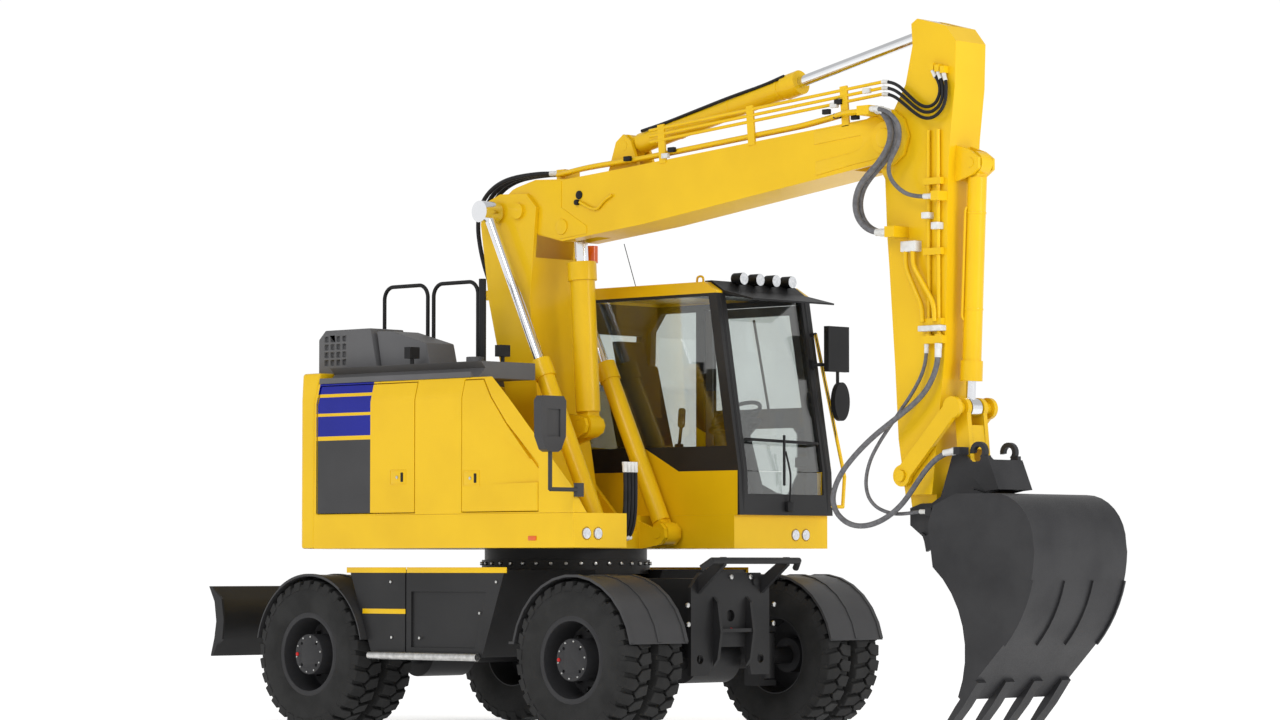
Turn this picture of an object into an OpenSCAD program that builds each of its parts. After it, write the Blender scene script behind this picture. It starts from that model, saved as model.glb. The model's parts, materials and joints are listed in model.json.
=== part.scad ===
// Wheeled excavator with a two-piece boom, twin tyres and a dozer blade.
// Units are millimetres. +X is forward, +Y is left, +Z is up.
// The origin lies on the ground under the swing axis.

/* [Running gear] */
// Distance between the axles
wheelbase = 2600; // [2450:10:2800]
// Width over the outer tyres
track_w = 2540; // [2480:10:2640]
// Tyre diameter over the lug tips
tyre_d = 1054; // [1000:2:1080]
// Width of one tyre
tyre_w = 262; // [240:2:272]
// Gap between the two tyres of a twin
twin_gap = 34; // [20:2:50]
// Radius of the rim's outer ring
rim_r = 292; // [270:2:310]
// Radius of the hub disc
hub_r = 140; // [120:2:170]
// Distance of a kingpin from the middle
kingpin_y = 640; // [600:5:650]
// Radius of the fenders inside
fender_r = 547; // [545:1:560]
// Sheet thickness of the fenders
fender_t = 10; // [6:1:14]

/* [Chassis] */
// Half width of the main beam
beam_hw = 330; // [280:5:350]
// Underside of the main beam
beam_z0 = 750; // [730:5:790]
// Top of the main beam
beam_z1 = 1060; // [1000:5:1090]
// Top of the side boxes
box_top = 1120; // [1080:5:1130]
// Underside of the side boxes
box_low = 530; // [480:5:580]
// Outer face of the side boxes
box_y = 1200; // [1150:5:1230]
// Front face of the front plate
front_x = 1570; // [1540:5:1600]
// Half width of the front plate
front_hw = 390; // [340:5:400]
// Radius of the swing ring
ring_r = 590; // [540:5:620]
// Underside of the swing ring
ring_z = 1130; // [1120:2:1150]

/* [Blade] */
// Half width of the blade
blade_hw = 1270; // [1200:5:1275]
// Underside of the raised blade
blade_z0 = 500; // [450:5:560]
// Height of the blade
blade_h = 500; // [420:5:520]
// Rear face of the blade
blade_x = -2360; // [-2420:5:-2320]
// Height of the blade arms' pivot
blade_pivot_z = 600; // [570:5:640]
// Place of the blade arms' pivot
blade_pivot_x = -1620; // [-1640:5:-1590]

/* [Upper structure] */
// Underside of the upper structure
deck_z0 = 1266; // [1260:2:1290]
// Top of the belt
deck_z1 = 1495; // [1470:5:1520]
// Half width of the upper structure
house_hw = 1265; // [1240:5:1275]
// Radius of the tail about the swing axis
tail_r = 1860; // [1850:5:1920]
// Front face of the upper structure
house_x1 = 1330; // [1300:5:1350]
// Top of the counterweight
weight_top = 2500; // [2440:5:2540]
// Top of the housings
hood_z = 2420; // [2380:5:2450]
// Inner face of the right housing
tank_y = -620; // [-660:5:-600]
// Front of the counterweight
weight_x = -1235; // [-1280:5:-1200]
// Length of the engine bay behind the tank
bay_len = 645; // [600:5:690]
// Height of the crease in the housings' sides
crease_z = 2280; // [2240:5:2320]
// How far the sides lean in above the crease
lean = 36; // [20:1:45]
// Sheet thickness of the housings
wall = 25; // [18:1:35]
// Thickness of the service doors
door_t = 30; // [22:1:36]

/* [Cab] */
// Inner face of the cab
cab_y0 = 300; // [295:1:320]
// Rear face of the cab
cab_x0 = -480; // [-520:5:-440]
// Front foot of the cab
cab_x1 = 1380; // [1350:5:1400]
// Top of the cab's roof
cab_top = 3110; // [3060:5:3140]
// Wall thickness of the cab
cab_wall = 55; // [45:1:65]
// Lower edge of the side windows
sill_z = 1970; // [1920:5:2020]

/* [Boom] */
// Sideways place of the boom's middle plane
boom_y = -120; // [-130:1:-116]
// Foot pin ahead of the swing axis
foot_x = 65; // [40:5:90]
// Foot pin above the ground
foot_z = 1650; // [1640:5:1670]
// Knee pin behind the foot pin
knee_dx = -200; // [-230:5:-180]
// Knee pin above the foot pin
knee_dz = 1980; // [1950:5:2020]
// Half width of the lower boom
low_hw = 215; // [205:1:225]
// Half width of the upper boom
up_hw = 178; // [170:1:182]
// Half width of the arm
arm_hw = 150; // [140:1:152]
// Arm pin ahead of the knee pin
boom_len = 3345; // [3300:5:3420]
// Arm pin above the knee pin
boom_rise = 275; // [250:5:300]
// Bucket pin below the arm pin
arm_len = 2440; // [2420:5:2480]
// Bucket pin ahead of the arm pin
arm_lead = 245; // [230:5:260]
// Half distance between the lift cylinders
lift_y = 320; // [318:1:324]
// Lift cylinder foot ahead of the swing axis
lift_x = 775; // [760:5:800]
// Lift cylinder foot above the ground
lift_z = 1370; // [1360:5:1390]

/* [Cylinders] */
// Barrel radius of the lift cylinders
lift_rb = 64; // [56:1:70]
// Rod radius of the lift cylinders
lift_rr = 36; // [30:1:40]
// Barrel radius of the adjust cylinder
adj_rb = 86; // [76:1:92]
// Rod radius of the adjust cylinder
adj_rr = 46; // [40:1:52]
// Barrel radius of the arm cylinder
armc_rb = 70; // [62:1:76]
// Rod radius of the arm cylinder
armc_rr = 38; // [32:1:42]
// Barrel radius of the bucket cylinder
bktc_rb = 61; // [54:1:66]
// Rod radius of the bucket cylinder
bktc_rr = 32; // [28:1:36]

/* [Tool] */
// Half width of the bucket
bucket_hw = 470; // [420:5:500]
// Thickness of the bucket's plates
bucket_t = 22; // [16:1:28]
// Number of teeth
teeth = 4; // [3:1:5]
// Width of a tooth
tooth_w = 90; // [70:1:100]

/* [Clearances] */
// Gap of a seated piece
fit = 0.3; // [0.2:0.1:0.6]
// Gap beside a moving piece
run = 6; // [5:1:8]

/* [Hidden] */
eps = 1;
tyre_r = tyre_d / 2;
hub_z = tyre_r;
front_ax = wheelbase / 2;
rear_ax = -wheelbase / 2;
half_w = track_w / 2;
twin_in = half_w - 2 * tyre_w - twin_gap;
foot = [foot_x, foot_z];
knee = foot + [knee_dx, knee_dz];
lift_base = [lift_x, lift_z];
lift_pin = knee + [-210, 0];
adj_base = foot + [278, 468];
adj_pin = knee + [395, -130];
arm_pin = knee + [boom_len, boom_rise];
armc_base = knee + [900, 405];
armc_pin = arm_pin + [230, 680];
bktc_base = arm_pin + [620, -195];
bucket_pin = arm_pin + [arm_lead, -arm_len];
idler_pin = bucket_pin + [-110, 257];
link_pin = idler_pin + [415, 428];
low_pin = bucket_pin + [340, 310];
blade_pivot = [blade_pivot_x, blade_pivot_z];
rim_in = rim_r - 36;
rim_seat = rim_r - 26;
spin_r = 60;
bead_in = 30;
hinge_x = 206;
door_z0 = deck_z1 + 10 + run;
door_z1 = hood_z - 14 - run;
bay_x = weight_x + bay_len;
tail_h = tail_r + weight_x;
tail_arc = (pow(house_hw + 126, 2) + pow(tail_h, 2)) / (2 * tail_h);
rear_hinge_x = weight_x + wall + run + door_t / 2;
boss_hw = 100;
plate_in = boss_hw + run;
plate_out = plate_in + 24;
tool_pins = at(bucket_pin, [[200, -90], [440, 140]]);
tool_pin_r = 26;
ear_in = plate_out + fit;
ear_out = ear_in + bucket_t;
hinge_z = [1690, 2640];
coupler_hw = plate_out + 40;
notch_x = house_x1 - 150;
notch_y = tank_y - 140;
head_lamps = [-house_hw + 124, -house_hw + 232, house_hw - 336, house_hw - 229];
lamp_z = deck_z0 + 94;
lamp_r = 36;
hood_top = hood_z + fit + 115;
pipe_run = [knee + [1000, 240], arm_pin + [-160, 135]];
pipe_y = boom_y - up_hw + 2;
pipe_r = 11;
pipe_len = 2340;
pipe_rise = [140, 180, 220];
hose_sides = 10;
ahead = [1, 0, 0];
down = [0, 0, -1];
pipe_dir = [pipe_run[1][0] - pipe_run[0][0], 0, pipe_run[1][1] - pipe_run[0][1]];
// Routes of the hoses
elbow_a = [
    [3190.3, -330, 4085], [3245, -345, 4070], [3295, -355, 4030], [3330, -360, 3980], [3345, -362, 3920],
    [3335, -364, 3855], [3300, -365, 3795], [3250, -365, 3740], [3190, -365, 3690], [3130, -365, 3640],
    [3080, -363, 3585], [3050, -360, 3520], [3042, -355, 3455], [3060, -350, 3390], [3105, -345, 3335],
    [3170, -340, 3300], [3240, -335, 3288], [3299.7, -330, 3285]];
elbow_c = [
    [3190.3, -424, 4085], [3260, -424, 4078], [3330, -424, 4055], [3390, -424, 4010], [3425, -422, 3955],
    [3430, -420, 3890], [3410, -416, 3830], [3370, -412, 3775], [3335, -408, 3725], [3325, -402, 3670],
    [3345, -396, 3615], [3390, -388, 3565], [3450, -378, 3525], [3520, -366, 3505], [3580, -352, 3500],
    [3639.7, -340, 3500]];
elbow_d = [
    [3181.5, -296, 4271], [3235, -300, 4265], [3290, -306, 4250], [3345, -312, 4222], [3400, -316, 4180],
    [3450, -318, 4140], [3500, -320, 4105], [3550, -320, 4082], [3600, -320, 4078], [3645, -318, 4098],
    [3670, -314, 4140], [3675, -310, 4190], [3655, -306, 4240], [3625, -302, 4280], [3608, -300, 4309.7]];
elbow_f = [
    [3187.5, -296, 4191], [3245, -302, 4182], [3305, -312, 4160], [3365, -322, 4125], [3425, -330, 4085],
    [3485, -336, 4045], [3545, -338, 4012], [3605, -338, 4000], [3660, -336, 4012], [3705, -330, 4050],
    [3728, -322, 4105], [3728, -314, 4160], [3724, -308, 4212], [3711, -304, 4252], [3698, -300, 4284.7]];
tool_a = [
    [3550, -300, 2559.7], [3548, -302, 2500], [3540, -308, 2430], [3520, -318, 2360], [3485, -330, 2290],
    [3440, -342, 2220], [3385, -352, 2150], [3325, -360, 2075], [3260, -364, 2000], [3195, -366, 1920],
    [3140, -366, 1840], [3105, -366, 1755], [3092, -364, 1670], [3110, -360, 1590], [3160, -352, 1530],
    [3230, -340, 1495], [3310, -325, 1478], [3390, -310, 1480], [3450, -300, 1487], [3500, -300, 1490],
    [3549.7, -300, 1490]];
tool_b = [
    [3652, -305, 2559.7], [3650, -308, 2490], [3642, -316, 2410], [3615, -328, 2330], [3565, -342, 2250],
    [3495, -360, 2180], [3410, -382, 2115], [3315, -400, 2050], [3215, -410, 1985], [3115, -412, 1915],
    [3020, -410, 1840], [2935, -412, 1755], [2875, -412, 1665], [2850, -410, 1575], [2875, -406, 1495],
    [2940, -400, 1435], [3025, -393, 1405], [3120, -385, 1405], [3215, -377, 1430], [3305, -369, 1475],
    [3385, -361, 1535], [3450, -354, 1605], [3510, -347, 1680], [3575, -340, 1755], [3650, -332, 1820],
    [3735, -324, 1860], [3799.7, -318, 1872]];
knee_a = [[99.7, -120, 3890], [20, -120, 3895], [-70, -120, 3900], [-160, -120, 3900], [-250, -120, 3897],
    [-340, -120, 3890], [-430, -120, 3875], [-515, -120, 3848], [-590, -120, 3808], [-650, -120, 3755],
    [-690, -120, 3690], [-710, -120, 3615], [-712, -120, 3535], [-700, -120, 3455], [-680, -120, 3375],
    [-655, -120, 3300], [-625, -120, 3225], [-590, -120, 3155], [-565, -120, 3100.3]];
foot_a = [
    [1290, -638, 1839.7], [1292, -638, 1790], [1294, -638, 1740], [1295, -638, 1690], [1295, -638, 1640],
    [1294, -638, 1590], [1292, -638, 1540], [1288, -638, 1495], [1282, -638, 1455], [1274, -638, 1420],
    [1263, -638, 1390], [1250, -638, 1365], [1232, -638, 1345], [1210, -638, 1330], [1180.3, -638, 1322]];
knee_rows = [-55, 0, 55];
foot_rows = [0, -33, -66, -99];

// A box between two corners
module box(x0, x1, y0, y1, z0, z1) {
    translate([x0, y0, z0]) cube([x1 - x0, y1 - y0, z1 - z0]);
}

// A side-view outline given a thickness in Y
module slab(pts, y0, y1) {
    translate([0, y1, 0]) rotate([90, 0, 0]) linear_extrude(y1 - y0) polygon(pts);
}

// A front-view outline given a length in X
module xslab(pts, x0, x1) {
    translate([x0, 0, 0]) rotate([90, 0, 90]) linear_extrude(x1 - x0) polygon(pts);
}

// A round bar along Y
module ybar(p, r, y0, y1) {
    translate([p[0], y1, p[1]]) rotate([90, 0, 0]) cylinder(r = r, h = y1 - y0);
}

// A round bar along X
module xbar(x0, x1, y, z, r) {
    translate([x0, y, z]) rotate([0, 90, 0]) cylinder(r = r, h = x1 - x0);
}

// A round bar along Z
module zbar(x, y, z0, z1, r) {
    translate([x, y, z0]) cylinder(r = r, h = z1 - z0);
}

// A round bar in the side plane, from distance a to b on the way from p to q
module rod(p, q, r, y, a, b) {
    translate([p[0], y, p[1]]) rotate([0, atan2(q[0] - p[0], q[1] - p[1]), 0])
        translate([0, 0, a]) cylinder(r = r, h = b - a);
}

// A round bar between two points in space
module bar(p, q, r) {
    d = q - p;
    translate(p) rotate([0, acos(d[2] / norm(d)), atan2(d[1], d[0])]) cylinder(r = r, h = norm(d));
}

// Points moved by an offset
function at(o, pts) = [for (p = pts) o + p];

// Points along an arc from angle a to b
function arc(c, r, a, b, n) = [for (k = [0:n]) let (t = a + (b - a) * k / n) c + r * [cos(t), sin(t)]];

// Direction of a route at its point i, where it leaves along a and arrives along b
function heading(pts, i, a, b) = let (
    n = len(pts) - 1,
    d = i == 0 ? a : i == n ? b : pts[i + 1] - pts[i - 1]
) d / norm(d);

// Corner j of the ring round a route's point i
function ring_point(pts, i, j, r, a, b) = let (
    d = heading(pts, i, a, b),
    u = cross(d, [0.35, 0.9, 0.25]) / norm(cross(d, [0.35, 0.9, 0.25])),
    v = cross(d, u),
    t = 360 * j / hose_sides
) pts[i] + r * (cos(t) * u + sin(t) * v);

// A hose swept along its route, which leaves its gland along a and meets the other along b
module hose(pts, r, a, b) {
    n = len(pts);
    m = hose_sides;
    polyhedron(
        points = [for (i = [0:n - 1]) for (j = [0:m - 1]) ring_point(pts, i, j, r, a, b)],
        faces = concat([[for (j = [0:m - 1]) j]], [[for (j = [m - 1:-1:0]) (n - 1) * m + j]],
            [for (i = [0:n - 2]) for (j = [0:m - 1])
                [i * m + j, (i + 1) * m + j, (i + 1) * m + (j + 1) % m, i * m + (j + 1) % m]]));
}

// One tyre as a plain revolved carcass, its middle at y
module tyre(x, y) {
    h = tyre_w / 2;
    translate([x, y, hub_z]) rotate([90, 0, 0]) rotate_extrude()
        polygon([[rim_seat, -h + bead_in], [rim_r + 4, -h + bead_in], [rim_r + 20, -h + 8],
            [tyre_r - 150, -h], [tyre_r - 48, -h + 4], [tyre_r, -h + 24],
            [tyre_r, h - 24], [tyre_r - 48, h - 4], [tyre_r - 150, h],
            [rim_r + 20, h - 8], [rim_r + 4, h - bead_in], [rim_seat, h - bead_in]]);
}

// The two tyres of one twin wheel
module twin(x, s) {
    color([0.06, 0.06, 0.065]) {
        tyre(x, s * (half_w - tyre_w / 2));
        tyre(x, s * (half_w - 1.5 * tyre_w - twin_gap));
    }
}

// The two rims of one twin wheel with their hub
module rims(x, s) {
    yo = half_w - bead_in + fit;
    yi = twin_in + bead_in;
    ym = half_w - tyre_w - twin_gap / 2;
    color([0.10, 0.10, 0.11]) translate([x, 0, hub_z]) rotate([s > 0 ? -90 : 90, 0, 0]) difference() {
        union() {
            rotate_extrude() polygon([[rim_in, yi], [rim_seat - fit, yi], [rim_seat - fit, yo],
                [rim_r, yo], [rim_r, yo + 12], [rim_in, yo + 12]]);
            translate([0, 0, ym - 25]) cylinder(r = rim_in + eps, h = 50);
            translate([0, 0, ym - 120]) cylinder(r = hub_r - 20, h = 240);
            translate([0, 0, ym]) cylinder(r = hub_r, h = yo + 8 - ym);
        }
        translate([0, 0, 0]) cylinder(r = spin_r + fit, h = ym + 60);
        for (k = [0:3]) rotate(45 + 90 * k) translate([hub_r - 34, 0, yo - 10]) cylinder(r = 11, h = 40);
    }
}

module tyres_front_left() { twin(front_ax, 1); }
module tyres_front_right() { twin(front_ax, -1); }
module tyres_rear_left() { twin(rear_ax, 1); }
module tyres_rear_right() { twin(rear_ax, -1); }
module rim_front_left() { rims(front_ax, 1); }
module rim_front_right() { rims(front_ax, -1); }
module rim_rear_left() { rims(rear_ax, 1); }
module rim_rear_right() { rims(rear_ax, -1); }

// An arched fender over a wheel, from y0 to y1
module fender(x, y0, y1) {
    r = fender_r + fender_t;
    low = hub_z + 110;
    rib_low = x > 0 ? 120 : 460;
    translate([x, y1, hub_z]) rotate([90, 0, 0]) linear_extrude(y1 - y0) difference() {
        circle(r = r);
        circle(r = fender_r);
        translate([-r - eps, -r - eps]) square([2 * r + 2 * eps, r + 110]);
    }
    for (y = [y0, (y0 + y1) / 2 - 15, y1 - 30]) translate([x, y + 30, hub_z]) rotate([90, 0, 0])
        linear_extrude(30) difference() {
            circle(r = r + 7);
            circle(r = r - 2);
            translate([-r - 10, -r - 10]) square([2 * r + 20, r + 10 + rib_low]);
        }
    if (x > 0) box(x - r - 30, x - sqrt(pow(fender_r, 2) - 110 * 110), y0, y1, low - 12, low + 4);
}

module chassis_frame() {
    color([0.13, 0.13, 0.14]) difference() {
        union() {
            box(-1640, front_x - 30, -beam_hw, beam_hw, beam_z0, beam_z1);
            box(-260, 260, -190, 190, hub_z - 40, beam_z0 + eps);
            zbar(0, 0, beam_z1 - 40, ring_z - 40, ring_r - 60);
            zbar(0, 0, ring_z - 40, ring_z + 58, ring_r);
            for (s = [-1, 1]) slab([[-1640, beam_z0 + 60], [-1450, beam_z0 + 60], [-1500, beam_z0 - 90],
                [blade_pivot_x + 70, blade_pivot_z - 60], [blade_pivot_x - 40, blade_pivot_z - 60],
                [blade_pivot_x - 40, beam_z0 + 60]], s > 0 ? 190 : -230, s > 0 ? 230 : -190);
        }
        for (s = [-1, 1]) ybar(blade_pivot, 30 + fit, s > 0 ? 180 : -240, s > 0 ? 240 : -180);
    }
}

module front_guard() {
    x0 = front_x - 30 + fit;
    color([0.12, 0.12, 0.13]) difference() {
        union() {
            xslab([[-front_hw, 410], [-210, 410], [-150, 600], [150, 600], [210, 410], [front_hw, 410],
                [front_hw, 1000], [front_hw - 90, 1100], [90 - front_hw, 1100], [-front_hw, 1000]],
                x0, front_x);
            for (s = [-1, 1]) {
                slab([[x0, 960], [front_x, 960], [1812, 1150], [1812, 1205], [1780, 1205], [1560, 1060],
                    [x0, 1060]], s > 0 ? 300 : -330, s > 0 ? 330 : -300);
                slab([[front_x - eps, 470], [front_x + 40, 520], [front_x + 70, 700], [front_x + 40, 900],
                    [front_x - eps, 940]], s > 0 ? 150 : -174, s > 0 ? 174 : -150);
                xbar(front_x - eps, front_x + 16, s * 240, 1040, 26);
            }
            box(front_x - eps, front_x + 60, -150, 150, 700, 724);
            bar([1800, -430, 1180], [1800, 430, 1180], 22);
            for (s = [-1, 1]) {
                bar([1800, s * 430, 1180], [1740, s * 470, 1130], 22);
                translate([1800, s * 430, 1180]) sphere(r = 22.2);
            }
        }
        for (s = [-1, 1]) xbar(x0 - eps, front_x + eps, s * 300, 520, 32);
        xbar(x0 - eps, front_x + eps, 0, 810, 40);
    }
}

// A steered or fixed axle beam with its middle housing
module axle(x, reach) {
    translate([x, 0, hub_z]) {
        rotate([90, 0, 0]) translate([0, 0, -210]) cylinder(r = 175, h = 420);
        rotate([90, 0, 0]) translate([0, 0, -reach]) cylinder(r = 85, h = 2 * reach);
    }
    box(x - 120, x + 120, -240, 240, hub_z, beam_z0 - fit);
    xbar(x > 0 ? 260 + fit : x + 150, x > 0 ? x - 150 : -260 - fit, 0, hub_z + 40, 38);
}

module front_axle() {
    color([0.12, 0.12, 0.13]) {
        difference() {
            union() {
                axle(front_ax, kingpin_y - 80);
                for (s = [-1, 1]) {
                    box(front_ax - 70, front_ax + 70, s > 0 ? kingpin_y - 130 : -kingpin_y + 80,
                        s > 0 ? kingpin_y - 80 : -kingpin_y + 130, hub_z - 205, hub_z + 205);
                    for (z = [hub_z - 205, hub_z + 165]) box(front_ax - 60, front_ax + 60,
                        s > 0 ? kingpin_y - 130 : -kingpin_y - 50,
                        s > 0 ? kingpin_y + 50 : -kingpin_y + 130, z, z + 40);
                    zbar(front_ax, s * kingpin_y, hub_z - 205, hub_z + 205, 34);
                }
            }
        }
    }
}

module rear_axle() {
    color([0.12, 0.12, 0.13]) {
        axle(rear_ax, half_w - tyre_w - twin_gap / 2 - 130);
        for (s = [-1, 1]) translate([rear_ax, 0, hub_z]) rotate([s > 0 ? -90 : 90, 0, 0])
            translate([0, 0, 0]) cylinder(r = spin_r, h = half_w - tyre_w - twin_gap / 2 + 40);
    }
}

module knuckle(s) {
    color([0.12, 0.12, 0.13]) difference() {
        union() {
            zbar(front_ax, s * kingpin_y, hub_z - 155, hub_z + 155, 68);
            translate([front_ax, s * kingpin_y, hub_z]) rotate([s > 0 ? -90 : 90, 0, 0])
                cylinder(r = spin_r, h = half_w - tyre_w - twin_gap / 2 + 40 - kingpin_y);
            box(front_ax - 190, front_ax, s * kingpin_y - 24, s * kingpin_y + 24, hub_z + 60, hub_z + 110);
        }
        zbar(front_ax, s * kingpin_y, hub_z - 260, hub_z + 260, 34 + fit);
    }
}
module knuckle_left() { knuckle(1); }
module knuckle_right() { knuckle(-1); }

module front_fender(s) {
    r = fender_r + fender_t;
    bx = front_ax - 160;
    bz = hub_z + sqrt(r * r - 160 * 160) + 10;
    y0 = s > 0 ? twin_in : -half_w + 15;
    y1 = s > 0 ? half_w - 15 : -twin_in;
    color([0.20, 0.20, 0.21]) {
        fender(front_ax, y0, y1);
        zbar(bx, s * kingpin_y, hub_z + 110 + fit, bz + 18, 18);
        ybar([bx, bz], 18, s > 0 ? kingpin_y : -kingpin_y - 260, s > 0 ? kingpin_y + 260 : -kingpin_y);
    }
}
module front_fender_left() { front_fender(1); }
module front_fender_right() { front_fender(-1); }

module rear_fenders() {
    color([0.20, 0.20, 0.21]) for (s = [-1, 1]) {
        fender(rear_ax, s > 0 ? twin_in : -half_w + 15, s > 0 ? half_w - 15 : -twin_in);
        box(rear_ax - 60, rear_ax + 60, s > 0 ? beam_hw + fit : -twin_in - 60, s > 0 ? twin_in + 60 :
            -beam_hw - fit, hub_z + fender_r - 1, hub_z + fender_r + fender_t + 8);
        box(rear_ax - 60, rear_ax + 60, s > 0 ? beam_hw + fit : -beam_hw - 26, s > 0 ? beam_hw + 26 :
            -beam_hw - fit, beam_z1 - 90, hub_z + fender_r);
    }
}

module side_box(s) {
    y0 = s > 0 ? beam_hw + fit : -box_y;
    y1 = s > 0 ? box_y : -beam_hw - fit;
    color([0.16, 0.16, 0.17]) {
        difference() {
            slab([[-930, box_top], [620, box_top], [400, box_low], [-700, box_low]], y0, y1);
            zbar(0, 0, box_low - eps, box_top + eps, ring_r - 60 + fit);
            zbar(0, 0, ring_z - 40 - fit, box_top + eps, ring_r + fit);
            slab([[-362, box_low - eps], [-350, box_low - eps], [-350, box_top + eps], [-362, box_top + eps]],
                s > 0 ? box_y - 20 : -box_y - eps, s > 0 ? box_y + eps : -box_y + 20);
            slab([[-300, box_low + 60], [330, box_low + 60], [440, box_top - 150], [-300, box_top - 150]],
                s > 0 ? box_y - 14 : -box_y - eps, s > 0 ? box_y + eps : -box_y + 14);
        }
        for (x = [-620, 320]) box(x - 30, x + 30, s > 0 ? box_y - 40 : -box_y - 34,
            s > 0 ? box_y + 34 : -box_y + 40, box_low - 14, box_low + 14);
    }
    color([0.60, 0.61, 0.62]) xbar(-690, 390, s * (box_y + 34), box_low, 26);
}
module right_side_box() { side_box(-1); }
module left_side_box() { side_box(1); }

module dozer_blade() {
    z1 = blade_z0 + blade_h;
    color([0.14, 0.14, 0.15]) {
        slab([[blade_x + 20, blade_z0], [blade_x + 50, blade_z0], [blade_x + 110, blade_z0 + 120],
            [blade_x + 125, blade_z0 + 260], [blade_x + 100, z1 - 90], [blade_x + 40, z1],
            [blade_x, z1], [blade_x + 60, z1 - 110], [blade_x + 80, blade_z0 + 250],
            [blade_x + 60, blade_z0 + 130]], -blade_hw, blade_hw);
        for (s = [-1, 1]) slab([blade_pivot + [60, -40], blade_pivot + [60, 40], blade_pivot + [0, 70],
            [blade_x + 110, z1 - 100], [blade_x + 110, blade_z0 + 150], blade_pivot + [0, -70]],
            s > 0 ? 236 : -276, s > 0 ? 276 : -236);
        for (y = [-blade_hw, -420, 400, blade_hw - 20]) slab([[blade_x + 60, blade_z0 + 60],
            [blade_x + 150, blade_z0 + 120], [blade_x + 165, blade_z0 + 260], [blade_x + 140, z1 - 90],
            [blade_x + 50, z1 - 20], [blade_x + 90, blade_z0 + 250]], y, y + 20);
        ybar(blade_pivot, 30, -290, 290);
    }
}

module swing_frame() {
    by = boom_y;
    color([0.80, 0.58, 0.07]) difference() {
        union() {
            difference() {
                box(weight_x + fit, house_x1, -house_hw, house_hw, deck_z0, deck_z1);
                box(600, house_x1 + eps, tank_y, cab_y0, deck_z0 - eps, deck_z1 + eps);
                box(notch_x, house_x1 + eps, notch_y, tank_y + eps, deck_z0 - eps, deck_z1 + eps);
                box(foot_x - 180, 600 + eps, by - low_hw - run, by + low_hw + run, deck_z1 - 110,
                    deck_z1 + eps);
                for (y = head_lamps) xbar(house_x1 - 12, house_x1 + eps, y, lamp_z, lamp_r + 8);
            }
            zbar(0, 0, ring_z + 58 + fit, deck_z0 + eps, ring_r - 20);
            for (s = [-1, 1]) {
                slab([[foot_x - 330, deck_z1 - eps], [foot_x + 330, deck_z1 - eps], foot + [130, 40],
                    foot + [60, 120], foot + [-60, 120], foot + [-130, 40]],
                    by + (s > 0 ? low_hw + run : -low_hw - run - 30),
                    by + (s > 0 ? low_hw + run + 30 : -low_hw - run));
                for (e = [lift_y - 85, lift_y + 57]) slab([[600 - eps, deck_z0], [600 - eps, deck_z1 - 40],
                    lift_base + [-50, 40], lift_base + [30, 70], lift_base + [70, 30],
                    lift_base + [70, -30], lift_base + [20, -80], [640, deck_z0]],
                    by + (s > 0 ? e : -e - 28), by + (s > 0 ? e + 28 : -e));
            }
        }
        for (s = [-1, 1]) {
            ybar(foot, 50 + fit, by + (s > 0 ? low_hw : -low_hw - 60), by + (s > 0 ? low_hw + 60 : -low_hw));
            ybar(lift_base, 35 + fit, by + (s > 0 ? lift_y - 90 : -lift_y - 90),
                by + (s > 0 ? lift_y + 90 : -lift_y + 90));
        }
    }
}

// What the leaning top of a side leaves out, for side s
module lean_cut(s, x0, x1, top) {
    y = s * house_hw;
    t = lean * (top - crease_z) / (hood_z - crease_z);
    xslab([[y, crease_z], [y - s * t, top], [y + s * wall, top], [y + s * wall, crease_z]], x0, x1);
}

// Section of a service door on side s, its outer face moved out by a and its inner face in by b
function door_face(s, a, b, z0, z1) = let (
    y = s * house_hw,
    t = s * lean * (z1 - crease_z) / (hood_z - crease_z)
) [[y + s * a, z0], [y + s * a, crease_z], [y + s * a - t, z1], [y - s * (door_t + b) - t, z1],
    [y - s * (door_t + b), crease_z], [y - s * (door_t + b), z0]];

module counterweight() {
    color([0.80, 0.58, 0.07]) difference() {
        translate([0, 0, deck_z0]) linear_extrude(weight_top - deck_z0) intersection() {
            translate([tail_arc - tail_r, 0]) circle(r = tail_arc);
            translate([-tail_r - eps, -house_hw]) square([weight_x + tail_r + eps, 2 * house_hw]);
        }
        for (s = [-1, 1]) lean_cut(s, -tail_r, weight_x + eps, weight_top + eps);
    }
}

module rear_housing() {
    z0 = deck_z1 + fit;
    color([0.80, 0.58, 0.07]) difference() {
        box(weight_x + fit, bay_x, -house_hw, house_hw, z0, hood_z);
        for (s = [-1, 1]) lean_cut(s, weight_x, bay_x + eps, hood_z + eps);
        box(weight_x + wall, bay_x - wall, -house_hw + 2 * wall + lean, house_hw - 2 * wall - lean, z0 - eps,
            hood_z - wall);
        for (s = [-1, 1]) box(weight_x + wall, bay_x - wall, s > 0 ? house_hw - 4 * wall : -house_hw - eps,
            s > 0 ? house_hw + eps : -house_hw + 4 * wall, z0 + 20, crease_z - 10);
        xslab(door_face(-1, wall, fit, door_z0 - run, door_z1 + run), weight_x + wall, bay_x + eps);
        xslab(door_face(1, wall, fit, door_z0 - run, door_z1 + run), weight_x + wall, bay_x - wall);
    }
}

// Outline of the right front door, drawn in by d
function tool_door(d) = [[262 + d, door_z0 - run + d], [1003 - d, door_z0 - run + d], [1003 - d, 1824 - 5 * d],
    [700 - d, 2100 - d], [450 - d, door_z1 + run - d], [262 + d, door_z1 + run - d]];

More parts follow.
